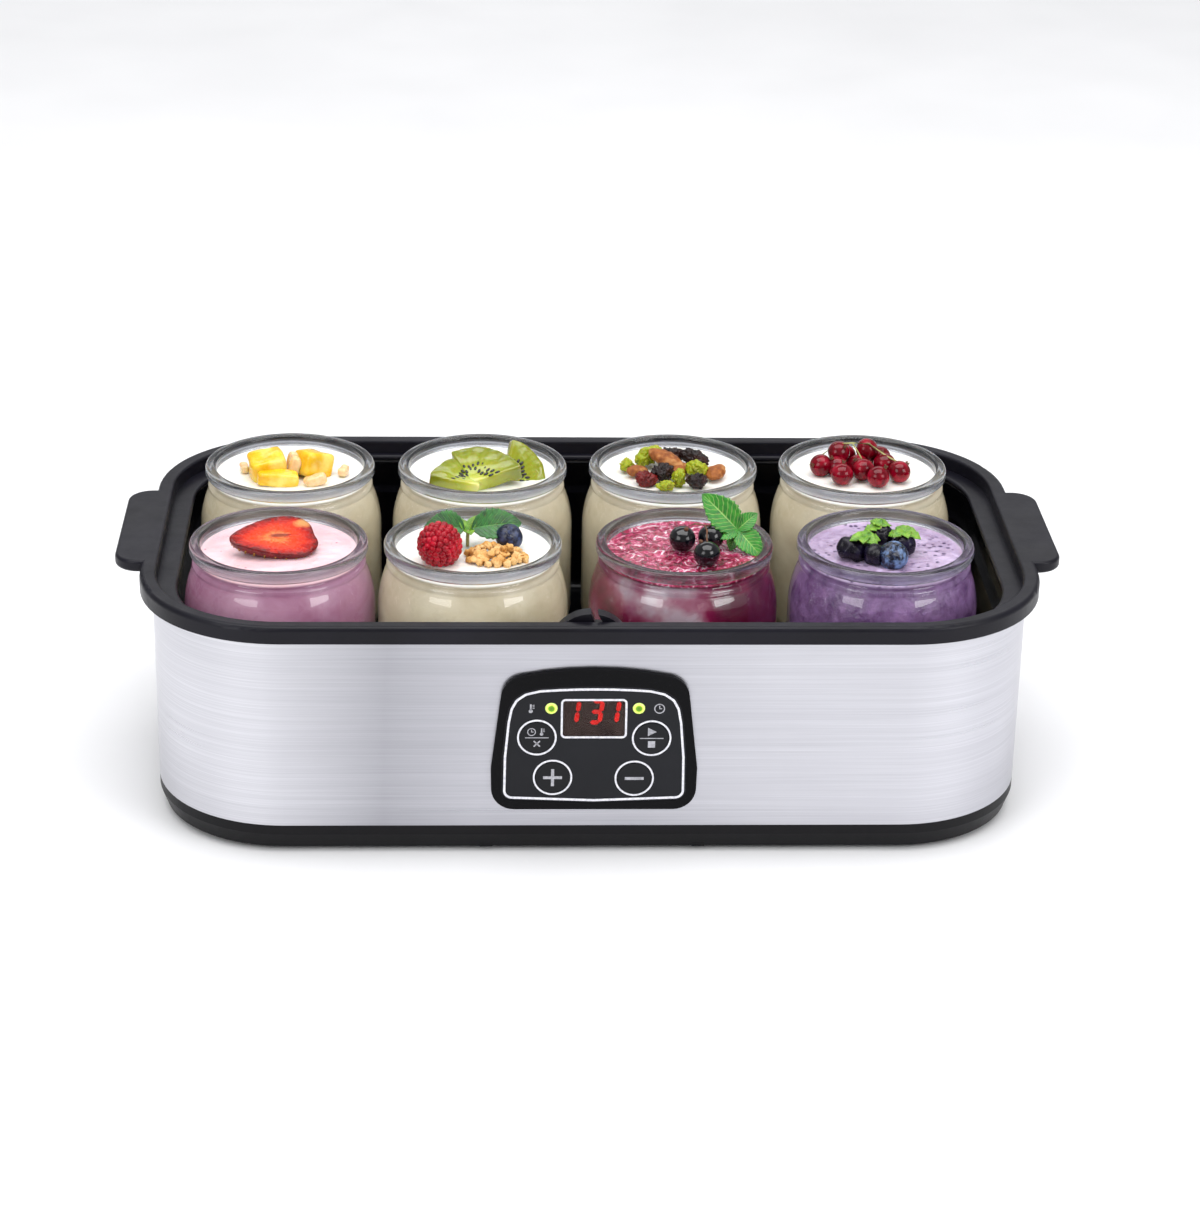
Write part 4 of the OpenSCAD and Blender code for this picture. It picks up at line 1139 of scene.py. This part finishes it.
def key_marks():
    """Grey marks on the four keys, and the two small signs beside the lamps."""
    for key in ("set_key", "start_key", "plus_key", "minus_key"):
        low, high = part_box(key)
        x, z = (low.x + high.x) / 2 / MM, (low.z + high.z) / 2 / MM
        mark = Mark(low.y)
        if key == "plus_key":
            mark.bar((x - 3.7, z), (x + 3.7, z), 1.2)
            mark.bar((x, z + 0.6), (x, z + 3.7), 1.2)
            mark.bar((x, z - 3.7), (x, z - 0.6), 1.2)
        elif key == "minus_key":
            mark.bar((x - 3.7, z), (x + 3.7, z), 1.2)
        elif key == "set_key":
            mark.clock(x - 2.1, z + 2.5, 1.5)
            mark.thermometer(x + 1.8, z + 2.5, 1.6)
            mark.bar((x - 4.6, z), (x + 4.6, z), 0.35)
            mark.cross(x, z - 2.6, 1.2)
        else:
            mark.patch(((x - 1.5, z + 1.0), (x + 1.9, z + 2.8), (x - 1.5, z + 4.6)))
            mark.bar((x - 4.6, z), (x + 4.6, z), 0.35)
            mark.patch(((x - 1.4, z - 4.0), (x + 1.4, z - 4.0), (x + 1.4, z - 1.2), (x - 1.4, z - 1.2)))
        mark.show(key + "_mark", key)
    lamps_low, lamps_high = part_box("status_leds")
    z = (lamps_low.z + lamps_high.z) / 2 / MM
    beside = lamps_high.x / MM + 5.6
    signs = Mark(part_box("control_panel")[0].y)
    signs.thermometer(-beside, z, 1.9)
    signs.clock(beside, z, 1.9)
    signs.show("lamp_signs", "case")


# ---------- putting it together ----------

def paint_cad():
    """Gives each CAD node the finish of its slot."""
    for part in frame["record"]["subparts"]:
        finish = FINISH.get(part["material_slot"])
        if finish is None:
            continue
        mesh = frame["nodes"][part["node"]].data
        mesh.materials.clear()
        mesh.materials.append(finish)


def studio():
    """Pale floor and soft lights."""
    bm = bmesh.new()
    bmesh.ops.create_grid(bm, x_segments=40, y_segments=40, size=4.0)
    mesh = bpy.data.meshes.new("floor")
    bm.to_mesh(mesh)
    bm.free()
    mesh.materials.append(FLOOR)
    placed("floor", mesh)
    world = SCENE.world = bpy.data.worlds.new("pale_world")
    world.use_nodes = True
    sky = world.node_tree.nodes["Background"].inputs
    sky["Color"].default_value = (0.96, 0.97, 1.0, 1)
    sky["Strength"].default_value = 0.42
    lights = (("backdrop", (0.0, 2.6, 1.8), (0, 2.7, 0), 3.0, 1.6, 24),
              ("overhead", (0.0, -0.05, 1.5), (0, 0, 0.05), 1.9, 1.1, 26),
              ("front_left", (-1.1, -1.2, 0.9), (0, 0, 0.05), 0.9, 0.9, 9),
              ("front_right", (1.2, -1.0, 0.8), (0, 0, 0.05), 0.8, 0.8, 10))
    for name, place, target, size_x, size_y, power in lights:
        data = bpy.data.lights.new(name, "AREA")
        data.shape = "RECTANGLE"
        data.size, data.size_y, data.energy = size_x, size_y, power
        light = placed(name, data)
        light.location = place
        light.rotation_mode = "QUATERNION"
        light.rotation_quaternion = (Vector(target) - Vector(place)).to_track_quat("-Z", "Y")
    SCENE.view_settings.view_transform = "Standard"


def camera():
    """Camera in front of the maker, above it and a little to the left, looking down."""
    yaw, pitch, roll = 0.047562, 0.419325, 0.02053
    ahead = Vector((math.sin(yaw) * math.cos(pitch), math.cos(yaw) * math.cos(pitch), -math.sin(pitch)))
    level = Vector((math.cos(yaw), -math.sin(yaw), 0))
    upright = level.cross(ahead)
    right = level * math.cos(roll) + upright * math.sin(roll)
    up = upright * math.cos(roll) - level * math.sin(roll)
    data = bpy.data.cameras.new("camera")
    data.sensor_width = 36
    data.lens = 95.934
    eye = placed("camera", data)
    turned = Matrix((right, up, -ahead)).transposed()
    eye.matrix_world = Matrix.Translation((-0.052259, -1.217547, 0.608550)) @ turned.to_4x4()
    SCENE.camera = eye


paint_cad()
studio()
camera()
SLOT_OF_FILL = {5: "yogurt_strawberry", 7: "yogurt_berry", 8: "yogurt_blueberry"}
for number in JARS:
    add_jar(number)
    waves, ripples = {7: (0.8, 0.9), 8: (0.6, 0.5)}.get(number, (0.5, 0.2))
    add_yogurt(number, SLOT_OF_FILL.get(number, "yogurt_plain"), waves, ripples, 0.3 if number < 7 else 0.42)
mango()
kiwi()
nuts()
currants()
strawberry()
granola_mix()
currants_and_mint()
blueberries_mix()
key_marks()
